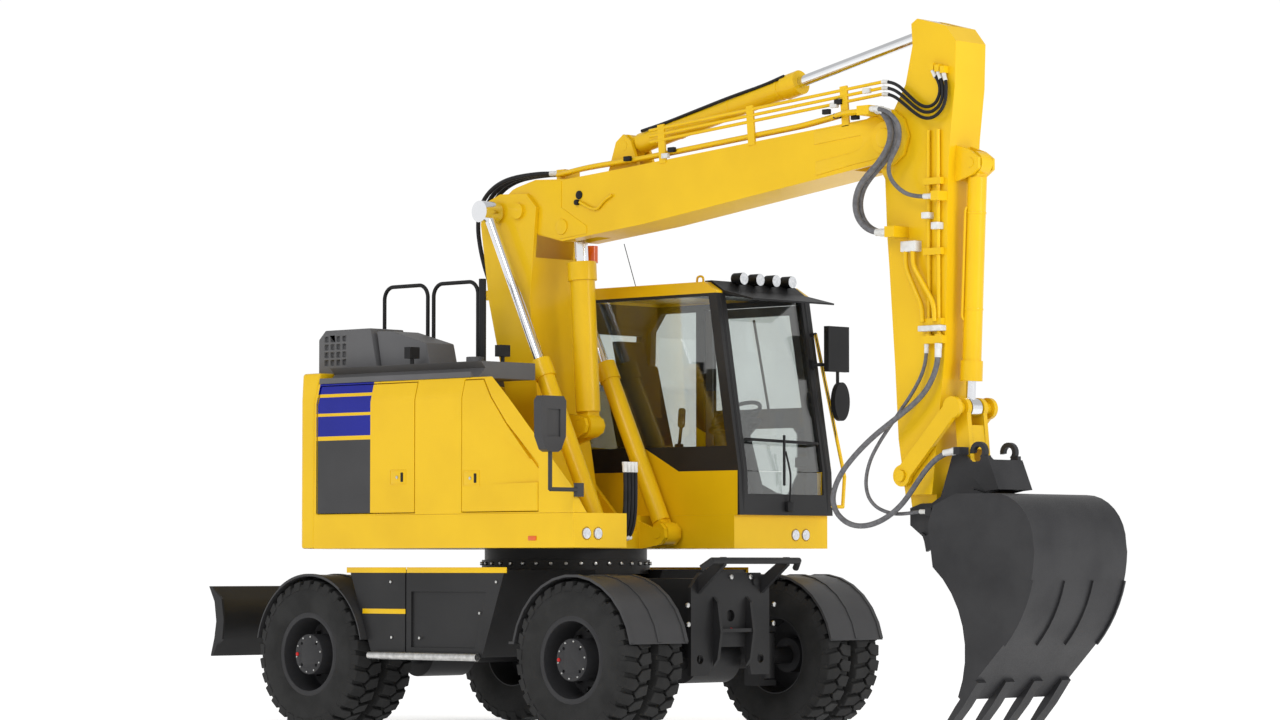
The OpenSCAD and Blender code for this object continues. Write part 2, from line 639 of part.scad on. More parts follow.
module right_housing() {
    z0 = deck_z1 + fit;
    color([0.80, 0.58, 0.07]) difference() {
        slab([[bay_x + fit, z0], [house_x1, z0], [house_x1, 1880], [900, hood_z], [bay_x + fit, hood_z]],
            -house_hw, tank_y);
        translate([590, -house_hw, hood_z - 20]) rotate([0, 45, 0]) rotate([-42, 0, 0])
            translate([-800, -900, 0]) cube([3000, 1800, 900]);
        lean_cut(-1, bay_x, house_x1, hood_z + eps);
        xslab(door_face(-1, wall, fit, door_z0 - run, door_z1 + run), bay_x, bay_x + 385 + run);
        box(bay_x, bay_x + 360, -house_hw - eps, tank_y - 60, z0 + 40, hood_z - 170);
        intersection() {
            slab(tool_door(0), -house_hw - wall, -house_hw + 3 * wall);
            xslab(door_face(-1, wall, fit, door_z0 - run, door_z1 + run), 200, house_x1);
        }
        slab([[300, z0 + 40], [960, z0 + 40], [960, 1700], [660, 2000], [500, 2200], [300, 2200]],
            -house_hw - eps, -house_hw + 300);
        box(notch_x, house_x1 + eps, notch_y, tank_y + eps, z0 - eps, 1840);
        for (k = [0:5]) box(house_x1 - 12, house_x1 + eps, -house_hw + 185 + 34 * k, -house_hw + 205 + 34 * k,
            deck_z1 + 80, deck_z1 + 165);
    }
}

module engine() {
    color([0.30, 0.31, 0.32]) box(weight_x + 90, bay_x - 90, -700, 500, deck_z1 + fit, hood_z - 170);
}

module top_cover() {
    z0 = hood_z + fit;
    color([0.17, 0.17, 0.18]) difference() {
        box(weight_x + 20, 320, -house_hw + 30, tank_y, z0, z0 + 115);
        translate([0, -house_hw + 30, z0 + 40]) rotate([-45, 0, 0]) box(weight_x, 400, -80, 80, 0, 120);
    }
    color([0.17, 0.17, 0.18]) zbar(weight_x + 1250, -900, z0 + 115 - eps, z0 + 160, 62);
    color([0.80, 0.58, 0.07]) box(weight_x + 20, bay_x - 10, tank_y + run, house_hw - 60, z0, z0 + 50);
}

module exhaust_box() {
    z0 = hood_top + fit;
    x0 = weight_x - 230;
    color([0.16, 0.16, 0.17]) difference() {
        union() {
            slab([[x0, z0], [x0, 2750], [x0 + 70, 2812], [x0 + 540, 2812], [x0 + 610, z0]], -1020, -700);
            box(x0, weight_x - 15, -1020, -700, weight_top + fit, z0 + eps);
        }
        for (j = [0:3]) for (k = [0:3]) box(x0 + 60 + 62 * j, x0 + 100 + 62 * j, -1020 - eps, -996,
            2562 + 56 * k, 2600 + 56 * k);
    }
    color([0.22, 0.22, 0.23]) slab([[x0 + 625, z0], [x0 + 575, 2790], [x0 + 720, 2785], [x0 + 1080, 2690],
        [x0 + 1120, z0]], -990, -720);
}

module handrails() {
    z0 = hood_top + fit;
    top = 3125;
    bend = 90;
    y = tank_y - 38;
    color([0.07, 0.07, 0.075]) {
        for (x = [weight_x + 65, weight_x + 575]) {
            for (e = [x, x + 450]) {
                zbar(e, y, z0, top - bend, 14);
                zbar(e, y, z0, z0 + 12, 32);
            }
            xbar(x + bend, x + 450 - bend, y, top, 14);
            translate([x + bend, y, top - bend]) rotate([90, 0, 0]) rotate([0, 0, 90])
                rotate_extrude(angle = 90) translate([bend, 0]) circle(r = 14);
            translate([x + 450 - bend, y, top - bend]) rotate([90, 0, 0])
                rotate_extrude(angle = 90) translate([bend, 0]) circle(r = 14);
        }
        zbar(weight_x + 1070, y, z0, top + 15, 26);
        zbar(weight_x + 1070, y, z0, z0 + 14, 36);
    }
}

module right_mirror() {
    y = -house_hw - 235;
    x = house_x1 + 20;
    color([0.18, 0.18, 0.19]) {
        difference() {
            xslab([[y - 90, 2256], [y + 90, 2256], [y + 115, 2225], [y + 112, 1990], [y + 70, 1905],
                [y + 40, 1890],
                [y - 40, 1890], [y - 70, 1905], [y - 112, 1990], [y - 115, 2225]], x - 35, x + 35);
            box(x + 25, x + 35 + eps, y - 60, y + 60, 1990, 2170);
            box(x - 35 - eps, x - 29, y - 95, y + 95, 2000, 2225);
        }
        zbar(x, y, 1640, 1900, 14);
        bar([x, y, 1646], [x, -house_hw + 40, 1646], 14);
        box(house_x1 + fit, x + 14, -house_hw + 5, -house_hw + 65, 1600, 1690);
    }
}

module lamps() {
    color([0.85, 0.86, 0.88]) for (y = head_lamps) xbar(house_x1 - 12 + fit, house_x1 + 6, y, lamp_z, lamp_r);
    color([0.12, 0.12, 0.13]) for (p = [[weight_x + 860, -1130], [weight_x + 1500, -880]]) {
        zbar(p[0], p[1], hood_top + fit, hood_top + 40, 14);
        box(p[0] - 30, p[0] + 30, p[1] - 45, p[1] + 45, hood_top + 40 - eps, hood_top + 118);
    }
}

// A service door on side s, cut from outline pts, with its rounded hinge edge at x
module service_door(pts, s, x, z1) {
    color([0.80, 0.58, 0.07]) {
        intersection() {
            slab(pts, s > 0 ? house_hw - lean - 2 * door_t : -house_hw - eps,
                s > 0 ? house_hw + eps : -house_hw + lean + 2 * door_t);
            xslab(door_face(s, 0, 0, door_z0, door_z1), weight_x, house_x1);
        }
        zbar(x, s * (house_hw - door_t / 2), door_z0, z1, door_t / 2);
    }
}

// Outline of a plain service door from its hinge at x0 to x1
function plain_door(x0, x1) = [[x0, door_z0], [x1, door_z0], [x1, door_z1], [x0, door_z1]];

module right_rear_door() { service_door(plain_door(rear_hinge_x, bay_x + 385), -1, rear_hinge_x, crease_z); }
module left_rear_door() {
    service_door(plain_door(rear_hinge_x, bay_x - wall - run), 1, rear_hinge_x, crease_z);
}
module right_front_door() {
    x = 1003 - run - door_t / 2;
    pts = tool_door(run);
    service_door([pts[0], [x, door_z0], [x, pts[2][1]], pts[3], pts[4], pts[5]], -1, x, pts[2][1]);
}

// Side outline of the cab
function cab_side() = [[cab_x0, deck_z1 + fit], [cab_x1, deck_z1 + fit], [cab_x1 - 10, 1800],
    [cab_x1 - 220, cab_top - 65], [cab_x1 - 330, cab_top], [cab_x0 + 230, cab_top],
    [cab_x0 + 60, cab_top - 210], [cab_x0, sill_z - 70]];

// Outline of the door opening, drawn in by d
function door_hole(d) = [[200 + d, deck_z1 + 70 + d], [cab_x1 - 90 - d, deck_z1 + 70 + d],
    [cab_x1 - 98 - d, 1800], [cab_x1 - 295 - d, cab_top - 120 - d], [200 + d, cab_top - 120 - d]];

function right_window() = [[cab_x0 + 120, sill_z], [cab_x1 - 120, sill_z], [cab_x1 - 290, cab_top - 100],
    [cab_x0 + 250, cab_top - 100], [cab_x0 + 150, cab_top - 240]];
function left_window() = [[cab_x0 + 120, sill_z], [120, sill_z], [120, cab_top - 130],
    [cab_x0 + 250, cab_top - 130], [cab_x0 + 150, cab_top - 260]];
function front_pane(t) = [[cab_x1 - 30 - t, 1800], [cab_x1 - 30, 1800], [cab_x1 - 240, cab_top - 102],
    [cab_x1 - 240 - t, cab_top - 102]];

module cab_frame() {
    w = cab_wall;
    color([0.80, 0.58, 0.07]) for (z = hinge_z) {
        box(130, 200, house_hw - eps, house_hw + 24, z, z + 60);
        zbar(hinge_x, house_hw + 12, z, z + 120, 6);
        zbar(hinge_x, house_hw + 12, z, z + 60, 12 - fit);
    }
    color([0.80, 0.58, 0.07]) {
        bar([1176, house_hw - 40, 2765], [1240, house_hw - 20, 2775], 13);
        bar([1240, house_hw - 20, 2775], [1395, house_hw + 110, 1770], 13);
        bar([1395, house_hw + 110, 1770], [1395, house_hw + 90, 1560], 13);
        bar([1395, house_hw + 90, 1560], [cab_x1 - 20, house_hw - 30, 1560], 13);
        translate([1240, house_hw - 20, 2775]) sphere(r = 13);
        translate([1395, house_hw + 110, 1770]) sphere(r = 13);
        translate([1395, house_hw + 90, 1560]) sphere(r = 13);
    }
    color([0.80, 0.58, 0.07]) difference() {
        slab(cab_side(), cab_y0, house_hw);
        slab([[cab_x0 + w, deck_z1 + 40], [cab_x1 - w, deck_z1 + 40], [cab_x1 - w - 10, 1800],
            [cab_x1 - 220 - w, cab_top - 90], [cab_x0 + 235, cab_top - 60], [cab_x0 + 60 + w, cab_top - 230],
            [cab_x0 + w, sill_z - 70]], cab_y0 + w, house_hw - w);
        slab([[cab_x1 - 140, 1640], [cab_x1 + 50, 1640], [cab_x1 + 50, 1800], [cab_x1 - 100, cab_top - 100],
            [cab_x1 - 340, cab_top - 100], [cab_x1 - 160, 1800]], cab_y0 + 90, house_hw - 90);
        slab(right_window(), cab_y0 - eps, cab_y0 + w + eps);
        slab(left_window(), house_hw - w - eps, house_hw + eps);
        slab(door_hole(0), house_hw - w - eps, house_hw + eps);
        box(cab_x0 - eps, cab_x0 + 200, cab_y0 + 110, house_hw - 110, sill_z, cab_top - 290);
    }
}

// Outline of the door's lower pane
function door_pane() = [[640, 1640], [cab_x1 - 230, 1640], [cab_x1 - 195, sill_z - 130], [560, sill_z - 130],
    [560, 1720]];

module cab_glass() {
    w = cab_wall;
    color([0.25, 0.32, 0.36, 0.35]) {
        slab(right_window(), cab_y0 + 8, cab_y0 + 16);
        slab(left_window(), house_hw - 28, house_hw - 20);
        slab(front_pane(10), cab_y0 + 90, house_hw - 90);
        slab([[cab_x1 - 30, 1640], [cab_x1 - 20, 1640], [cab_x1 - 20, 1795], [cab_x1 - 30, 1795]],
            cab_y0 + 90, house_hw - 90);
        slab([[cab_x0 + 30, sill_z], [cab_x0 + 40, sill_z], [cab_x0 + 85, cab_top - 290],
            [cab_x0 + 75, cab_top - 290]], cab_y0 + 110, house_hw - 110);
    }
}

module cab_door() {
    y0 = house_hw - 45;
    color([0.80, 0.58, 0.07]) for (z = hinge_z) difference() {
        union() {
            zbar(hinge_x, house_hw + 12, z + 60 + fit, z + 120, 12 - fit);
            box(hinge_x, hinge_x + 60, house_hw - eps, house_hw + 22, z + 60 + fit, z + 120);
        }
        zbar(hinge_x, house_hw + 12, z, z + 130, 6 + fit);
    }
    color([0.80, 0.58, 0.07]) difference() {
        slab(door_hole(run), y0, house_hw);
        slab([[270, sill_z - 60], [cab_x1 - 190, sill_z - 60], [cab_x1 - 365, cab_top - 190],
            [270, cab_top - 190]], y0 - eps, house_hw + eps);
        slab(door_pane(), y0 - eps, house_hw + eps);
    }
    color([0.25, 0.32, 0.36, 0.35]) slab(door_pane(), y0 + 18, y0 + 26);
    color([0.25, 0.32, 0.36, 0.35]) slab([[270, sill_z - 60], [cab_x1 - 190, sill_z - 60],
        [cab_x1 - 365, cab_top - 190], [270, cab_top - 190]], y0 + 18, y0 + 26);
}

module cab_roof_kit() {
    z0 = cab_top + fit;
    x0 = cab_x1 - 330;
    lamp_gap = (house_hw - cab_y0 - 460) / 3;
    color([0.10, 0.10, 0.11]) {
        slab([[x0 - 50, z0], [x0 + 2, z0], [x0 + 113, cab_top - 64], [x0 + 117, cab_top - 80],
            [x0 + 400, cab_top - 140], [x0 + 402, cab_top - 128], [x0 + 128, cab_top - 62], [x0 + 12, z0 + 12],
            [x0 - 50, z0 + 12]], cab_y0 + 60, house_hw - 60);
        for (k = [0:3]) xbar(x0 + 20, x0 + 110, cab_y0 + 290 + lamp_gap * k, z0 + 30, 42);
        zbar(cab_x0 + 341, cab_y0 + 100, z0, cab_top + 200, 12);
        zbar(cab_x0 + 341, cab_y0 + 100, z0, z0 + 12, 30);
    }
    color([0.85, 0.35, 0.05]) zbar(cab_x0 + 341, cab_y0 + 100, cab_top + 195, cab_top + 316, 43);
}

module seat() {
    ym = (cab_y0 + house_hw) / 2;
    z0 = deck_z1 + 40 + fit;
    color([0.15, 0.15, 0.16]) {
        box(-60, 420, ym - 230, ym + 230, z0, z0 + 330);
        box(-40, 460, ym - 250, ym + 250, z0 + 330, z0 + 450);
        slab([[-40, z0 + 450], [90, z0 + 450], [-70, z0 + 1050], [-190, z0 + 1050]], ym - 230, ym + 230);
        slab([[-70, z0 + 1050], [-150, z0 + 1050], [-190, z0 + 1220], [-110, z0 + 1220]], ym - 130, ym + 130);
    }
}

module console() {
    ym = (cab_y0 + house_hw) / 2;
    z0 = deck_z1 + 40 + fit;
    color([0.13, 0.13, 0.14]) {
        rod([1010, z0], [900, z0 + 560], 45, ym, 30, 602);
        translate([895, ym, z0 + 590]) rotate([0, -14, 0]) rotate_extrude()
            translate([175, 0]) circle(r = 16);
        translate([895, ym, z0 + 590]) rotate([0, -14, 0]) cube([20, 370, 18], center = true);
        box(950, 1080, ym - 90, ym + 90, z0, z0 + 60);
    }
}

module left_mirror() {
    y = house_hw + 80;
    x = cab_x1 - 30;
    color([0.10, 0.10, 0.11]) {
        box(x - 22, x + 22, y - 110, y + 110, 2510, 2830);
        translate([x + 5, y + 10, 2300]) rotate([0, 90, 0]) scale([1.7, 1, 1]) cylinder(r = 80, h = 40);
        zbar(x, y + 10, 2300, 2560, 12);
        bar([x - 90, house_hw - 60, 2560], [x, y, 2560], 12);
        difference() {
            box(cab_x1 - 160, x - 80, house_hw - 85, house_hw - 45, 2530, 2590);
            translate([fit, 0, 0]) slab(cab_side(), cab_y0, house_hw);
        }
    }
}

module boom_lower() {
    by = boom_y;
    color([0.80, 0.58, 0.07]) difference() {
        union() {
            difference() {
                union() {
                    slab(at(foot, [[-155, 0], [-235, 350], [-500, 1350], [-585, 1910], [-535, 2060],
                        [-390, 2110], [-130, 2100], [-30, 2000], [-45, 1830], [-90, 1350], [-10, 650],
                        [85, 350], [150, 0]]), by - low_hw, by + low_hw);
                    ybar(foot, 152, by - low_hw, by + low_hw);
                }
                slab(at(knee, [[-700, -330], [400, -330], [400, 500], [-700, 500]]),
                    by - up_hw - run, by + up_hw + run);
            }
            ybar(foot, 50, by - low_hw - run - 44, by + low_hw + run + 44);
            ybar(knee, 55, by - low_hw - 24, by + low_hw + 24);
            for (s = [-1, 1]) ybar(lift_pin, 62, by + (s > 0 ? low_hw - eps : -lift_y + 80 + fit),
                by + (s > 0 ? lift_y - 80 - fit : -low_hw + eps));
            for (s = [-1, 1]) slab(at(adj_base, [[-260, -150], [-30, -80], [50, -50], [70, 0], [50, 50],
                [-20, 70], [-260, 90]]), by + (s > 0 ? 66 : -96), by + (s > 0 ? 96 : -66));
            box(-600, -430, by - 85, by + 85, 3030, 3100);
        }
        ybar(adj_base, 40 + fit, by - 110, by + 110);
    }
}

// Eye, barrel and gland of a cylinder whose foot is p and whose rod points at q
module barrel(p, q, rb, rr, y, len, ew, pr) {
    g = rb * 1.18;
    b = rr + fit;
    e = pr + 45;
    translate([p[0], y, p[1]]) rotate([90, 0, 0]) rotate_extrude()
        polygon([[0, -ew - 36], [pr, -ew - 36], [pr, -ew], [e, -ew], [e, ew], [pr, ew], [pr, ew + 36],
            [0, ew + 36]]);
    translate([p[0], y, p[1]]) rotate([0, atan2(q[0] - p[0], q[1] - p[1]), 0]) {
        translate([-0.62 * rb, 3 - ew, 0]) cube([1.24 * rb, 2 * ew - 6, e + 25]);
        rotate_extrude() polygon([[0, e + 12], [rb, e + 12], [rb, len - 130], [g, len - 130], [g, len],
            [b, len], [b, e + 40], [0, e + 40]]);
    }
}

// Rod of a cylinder with its eye at q
module piston(p, q, rr, y, len, ew, er) {
    d = norm(q - p);
    rod(p, q, rr, y, d - len, d);
    ybar(q, er, y - ew, y + ew);
}

module lift_barrels() {
    color([0.80, 0.58, 0.07]) for (s = [-1, 1])
        barrel(lift_base, lift_pin, lift_rb, lift_rr, boom_y + s * lift_y, 1330, 54, 35);
}

module lift_rods() {
    color([0.75, 0.76, 0.78]) for (s = [-1, 1])
        piston(lift_base, lift_pin, lift_rr, boom_y + s * lift_y, 1560, 80, 76);
}

module adjust_barrel() {
    color([0.80, 0.58, 0.07]) barrel(adj_base, adj_pin, adj_rb, adj_rr, boom_y, 1145, 60, 40);
}

module adjust_rod() {
    color([0.75, 0.76, 0.78]) piston(adj_base, adj_pin, adj_rr, boom_y, 1150, 60, 70);
}

module boom_upper() {
    by = boom_y;
    color([0.80, 0.58, 0.07]) difference() {
        union() {
            slab(concat(at(knee, [[-16, -130], [391, -230], [1184, -155]]), at(arm_pin, [[-95, -165],
                [-40, -186], [60, -180], [150, -116], [190, 0], [150, 116], [60, 180], [-20, 188],
                [-160, 135]]), at(knee, [[1000, 240], [430, 200], [130, 215], [-70, 170], [-180, 100],
                [-150, -40]])), by - up_hw, by + up_hw);
            for (s = [-1, 1]) slab(at(armc_base, [[-160, -220], [160, -190], [70, 30], [0, 80], [-70, 30]]),
                by + (s > 0 ? 66 : -92), by + (s > 0 ? 92 : -66));
            for (s = [-1, 1]) ybar(arm_pin, 105, by + (s > 0 ? up_hw - eps : -up_hw - 18),
                by + (s > 0 ? up_hw + 18 : -up_hw + eps));
            box(100, 180, by - 75, by + 75, 3780, 3915);
            box(3090, 3190, -446, by - up_hw + 10, 4050, 4110);
            boom_pipes();
        }
        slab(at(arm_pin, [[-290, -400], [300, -400], [300, 400], [-290, 400]]),
            by - arm_hw - run, by + arm_hw + run);
        slab(at(adj_pin, [[-200, -300], [240, -300], [240, 110], [-200, 110]]), by - 66, by + 66);
        ybar(knee, 55 + fit, by - up_hw - eps, by + up_hw + eps);
        ybar(arm_pin, 55 + fit, by - up_hw - 20, by + up_hw + 20);
        ybar(armc_base, 36 + fit, by - 110, by + 110);
    }
}

// Three pipes along the right side of the upper boom, with their clamps
module boom_pipes() {
    p = pipe_run[0];
    d = (pipe_run[1] - p) / norm(pipe_run[1] - p);
    n = [-d[1], d[0]];
    for (e = pipe_rise) {
        a = p + 250 * d + e * n;
        b = p + pipe_len * d + e * n;
        bar([a[0], pipe_y, a[1]], [b[0], pipe_y, b[1]], pipe_r);
    }
    for (x = [330, 1150, 1980]) slab([p + x * d - 20 * n, p + (x + 60) * d - 20 * n,
        p + (x + 60) * d + 245 * n, p + x * d + 245 * n], pipe_y - 8, pipe_y + 8);
}

// Two pipes down the right side of the arm, from the elbow to the ports of the tool's hoses
module arm_pipes() {
    y = boom_y - arm_hw - 18;
    for (x = [3560, 3640]) {
        bar([x, y, 3930], [x, y, 2600], pipe_r + 2);
        zbar(x, y, 2560, 2620, 26);
    }
    for (z = [2700, 3150, 3600]) box(3525, 3675, y - 20, y + 20, z - 22, z + 22);
    box(3520, 3690, y - 28, y + 20, 2560, 2610);
}

module arm_barrel() {
    color([0.80, 0.58, 0.07]) barrel(armc_base, armc_pin, armc_rb, armc_rr, boom_y, 1590, 58, 36);
}

module arm_rod() {
    color([0.75, 0.76, 0.78]) piston(armc_base, armc_pin, armc_rr, boom_y, 1850, 55, 76);
}

module arm() {
    by = boom_y;
    color([0.80, 0.58, 0.07]) difference() {
        union() {
            slab(concat(at(arm_pin, [[195, 725], [205, 585], [145, 335], [50, 185], [-75, 90], [-110, -20],
                [-90, -160], [-29, -265], [-12, -645], [5, -845], [51, -1485], [77, -1945]]),
                at(bucket_pin, [[-96, 40], [-80, -55], [0, -96], [80, -55], [97, 30], [150, 480]]),
                at(arm_pin, [[460, -1445], [485, -845], [495, -305], [515, -25], [555, 295], [565, 585],
                [480, 690], [245, 755]])), by - arm_hw, by + arm_hw);
            for (s = [-1, 1]) slab(at(bktc_base, [[-260, 170], [0, 80], [70, 30], [70, -40], [10, -80],
                [-260, -150]]), by + (s > 0 ? 60 : -84), by + (s > 0 ? 84 : -60));
            ybar(arm_pin, 55, by - up_hw - 24, by + up_hw + 24);
            ybar(idler_pin, 36, by - arm_hw - 62, by + arm_hw + 62);
            arm_pipes();
            box(3300, 3380, -420, by - arm_hw + 10, 3250, 3320);
            box(3640, 3700, -365, by - arm_hw + 10, 3470, 3530);
            for (q = [elbow_d, (elbow_d + elbow_f) / 2, elbow_f]) let (e = q[len(q) - 1])
                box(e[0] - 18, e[0] + 18, e[1] - 18, by - arm_hw + 10, e[2] + fit, e[2] + 45);
        }
        slab(at(armc_pin, [[-300, -280], [240, -280], [240, 200], [-300, 200]]), by - 64, by + 64);
        for (s = [-1, 1]) slab(at(bucket_pin, [[-200, -200], [200, -200], [200, 135], [-200, 135]]),
            by + (s > 0 ? boss_hw : -300), by + (s > 0 ? 300 : -boss_hw));
        ybar(bucket_pin, 40 + fit, by - 200, by + 200);
        ybar(bktc_base, 32 + fit, by - 110, by + 110);
    }
}

module bucket_barrel() {
    color([0.80, 0.58, 0.07]) barrel(bktc_base, link_pin, bktc_rb, bktc_rr, boom_y, 1390, 52, 32);
}

module bucket_rod() {
    color([0.75, 0.76, 0.78]) piston(bktc_base, link_pin, bktc_rr, boom_y, 1350, 48, 62);
}

// A flat bar with round ends between two pins
module link_bar(p, q, r, y0, y1, hole) {
    d = (q - p) / norm(q - p);
    n = [-d[1], d[0]] * r * 0.8;
    difference() {
        union() {
            ybar(p, r, y0, y1);
            ybar(q, r, y0, y1);
            slab([p + n, p - n, q - n, q + n], y0, y1);
        }
        ybar(p, hole, y0 - eps, y1 + eps);
    }
}

module idler_links() {
    by = boom_y;
    color([0.80, 0.58, 0.07]) for (s = [-1, 1]) {
        link_bar(idler_pin, link_pin, 70, by + (s > 0 ? arm_hw + 10 : -arm_hw - 44),
            by + (s > 0 ? arm_hw + 44 : -arm_hw - 10), 36 + fit);
        ybar(link_pin, 40, by + (s > 0 ? 60 : -arm_hw - 44), by + (s > 0 ? arm_hw + 44 : -60));
    }
}

module bucket_link() {
    by = boom_y;
    color([0.80, 0.58, 0.07]) for (s = [-1, 1]) {
        link_bar(link_pin, low_pin, 66, by + (s > 0 ? 62 : -boss_hw), by + (s > 0 ? boss_hw : -62), 40 + fit);
    }
    color([0.80, 0.58, 0.07]) slab([link_pin + [-25, -110], link_pin + [55, -110], low_pin + [40, 110],
        low_pin + [-40, 110]], by - 70, by + 70);
}

// A hook of round section on the coupler's top, open to the front
module coupler_hook(y) {
    slab(at(bucket_pin + [500, 400], concat(arc([0, 0], 64, -60, 190, 14), arc([0, 0], 34, 190, -60, 14))),
        y - 17, y + 17);
    slab(at(bucket_pin, [[505, 320], [580, 320], [580, 375], [528, 372]]), y - 17, y + 17);
}

module coupler() {
    by = boom_y;
    color([0.10, 0.10, 0.11]) difference() {
        union() {
            for (s = [-1, 1]) slab(at(bucket_pin, [[-90, -60], [-90, 50], [0, 78], [90, 80], [165, 120],
                [260, 380], [340, 400], [410, 340], [470, 335], [590, 350], [670, 160], [560, 140], [370, 80],
                [320, -110], [60, -165]]), by + (s > 0 ? plate_in : -plate_out),
                by + (s > 0 ? plate_out : -plate_in));
            slab(at(bucket_pin, [[450, 250], [470, 335], [590, 350], [670, 160], [560, 150]]),
                by - coupler_hw, by + coupler_hw);
            slab(at(bucket_pin, [[190, -60], [290, -30], [350, 80], [230, 70]]),
                by - plate_out, by + plate_out);
            for (s = [-1, 1]) coupler_hook(by + s * 150);
            for (q = [tool_a, tool_b]) let (e = q[len(q) - 1])
                box(e[0] + fit, e[0] + 50, e[1] - 24, by - plate_out + eps, e[2] - 24, e[2] + 24);
        }
        for (p = tool_pins) ybar(p, tool_pin_r + fit, by - 170, by + 170);
    }
    color([0.30, 0.30, 0.31]) {
        ybar(bucket_pin, 40, by - plate_out, by + plate_out);
        for (s = [-1, 1]) ybar(low_pin, 34, by + (s > 0 ? plate_in : -plate_out),
            by + (s > 0 ? plate_out : -plate_in));
    }
}

// Curved back of the bucket, its wall t thick
function bucket_back(t) = concat(arc([870, -180], 310 - t, 90, 0, 8), arc([313, -200], 875 - t, -2, -45, 10));

module bucket() {
    by = boom_y;
    t = bucket_t;
    y0 = by - bucket_hw;
    y1 = by + bucket_hw;
    color([0.07, 0.07, 0.075]) {
        difference() {
            slab(at(bucket_pin, concat([[340, -60], [385, 60], [560, 130]], bucket_back(0), [[600, -1151],
                [580, -1135]], arc([-38, -860], 676, -24, 52, 8))), y0, y1);
            slab(at(bucket_pin, concat([[400, 40], [565, 103]], bucket_back(t), [[530, -1189], [200, -1189],
                [200, -100]])), y0 + t, y1 - t);
        }
        for (s = [-1, 1]) for (p = tool_pins) ybar(p, tool_pin_r, by + (s > 0 ? plate_in : -ear_out),
            by + (s > 0 ? ear_out : -plate_in));
        for (s = [-1, 1]) slab(at(bucket_pin, [[20, -105], [45, -165], [60, -230], [345, -110], [400, 60],
            [560, 130], [470, 160], [385, 110], [60, -130]]), by + (s > 0 ? ear_in : -ear_out),
            by + (s > 0 ? ear_out : -ear_in));
        for (y = [y0, y1 - 14, by - 150, by + 136]) slab(at(bucket_pin, concat(
            arc([313, -200], 890, -14, -44, 6), arc([313, -200], 865, -44, -14, 6))), y, y + 14);
        for (k = [0:teeth - 1]) {
            yk = y0 + tooth_w / 2 + k * (2 * bucket_hw - tooth_w) / (teeth - 1);
            slab(at(bucket_pin, [[700, -1010], [640, -1095], [560, -1190], [470, -1310], [500, -1325],
                [620, -1195], [735, -1045]]), yk - tooth_w / 2, yk + tooth_w / 2);
        }
    }
}

module elbow_hoses() {
    color([0.05, 0.05, 0.055]) {
        for (k = [0, 1]) hose([for (p = elbow_a) p - [0, 46 * k, 0]], 20, ahead, ahead);
        hose(elbow_c, 14, ahead, ahead);
        for (route = [elbow_d, (elbow_d + elbow_f) / 2, elbow_f]) hose(route, pipe_r, pipe_dir, -down);
    }
}

module coupler_hoses() {
    color([0.05, 0.05, 0.055]) {
        hose(tool_a, 12, down, ahead);
        hose(tool_b, 18, down, ahead);
    }
}

module knee_hoses() {
    color([0.05, 0.05, 0.055]) for (y = knee_rows) hose([for (p = knee_a) p + [0, y, 0]], 16,
        -ahead, down);
}

module foot_hoses() {
    color([0.05, 0.05, 0.055]) for (y = foot_rows) hose([for (p = foot_a) p + [0, y, 0]], 14,
        down, -ahead);
}

chassis_frame();
front_guard();
front_axle();
rear_axle();
right_side_box();
left_side_box();
rear_fenders();
knuckle_left();
knuckle_right();
front_fender_left();
front_fender_right();
tyres_front_left();
tyres_front_right();
tyres_rear_left();
tyres_rear_right();
rim_front_left();
rim_front_right();
rim_rear_left();
rim_rear_right();
dozer_blade();
swing_frame();
counterweight();
rear_housing();
right_housing();
engine();
top_cover();
exhaust_box();
handrails();
right_mirror();
lamps();
right_rear_door();
right_front_door();
left_rear_door();
cab_frame();
cab_roof_kit();
cab_glass();
cab_door();
seat();
console();
left_mirror();
boom_lower();
lift_barrels();
lift_rods();
adjust_barrel();
adjust_rod();
boom_upper();
arm_barrel();
arm_rod();
arm();
bucket_barrel();
bucket_rod();
idler_links();
bucket_link();
coupler();
bucket();
elbow_hoses();
coupler_hoses();
knee_hoses();
foot_hoses();
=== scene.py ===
"""Looks of a wheeled excavator: finishes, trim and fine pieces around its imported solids.

All places are in metres in the solids' own frame: +X forward, +Y left, +Z up, with the
origin on the ground under the swing axis.
"""

import json
import logging
import math
from contextlib import contextmanager
from dataclasses import dataclass, field
from enum import Enum
from typing import Callable, Iterable, Iterator, Sequence

import bpy
from mathutils import Matrix, Vector


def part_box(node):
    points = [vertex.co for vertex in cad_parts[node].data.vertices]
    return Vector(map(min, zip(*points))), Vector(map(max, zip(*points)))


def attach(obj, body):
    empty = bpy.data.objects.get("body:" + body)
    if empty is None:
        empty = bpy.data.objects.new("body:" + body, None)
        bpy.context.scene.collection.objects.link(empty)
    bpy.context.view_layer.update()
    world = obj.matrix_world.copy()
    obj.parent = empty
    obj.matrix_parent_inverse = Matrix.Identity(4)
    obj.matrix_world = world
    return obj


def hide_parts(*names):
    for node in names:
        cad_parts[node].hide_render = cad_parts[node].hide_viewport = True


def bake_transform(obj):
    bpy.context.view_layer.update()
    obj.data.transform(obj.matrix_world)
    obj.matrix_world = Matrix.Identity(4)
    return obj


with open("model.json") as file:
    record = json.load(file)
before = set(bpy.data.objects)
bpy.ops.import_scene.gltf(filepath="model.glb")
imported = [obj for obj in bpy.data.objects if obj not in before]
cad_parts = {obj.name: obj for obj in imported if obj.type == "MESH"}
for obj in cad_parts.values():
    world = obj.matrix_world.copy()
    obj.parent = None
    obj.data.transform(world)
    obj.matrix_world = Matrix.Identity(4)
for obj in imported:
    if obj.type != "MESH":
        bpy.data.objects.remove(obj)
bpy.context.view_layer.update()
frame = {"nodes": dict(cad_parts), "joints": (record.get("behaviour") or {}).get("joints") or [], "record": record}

LOG = logging.getLogger("excavator")
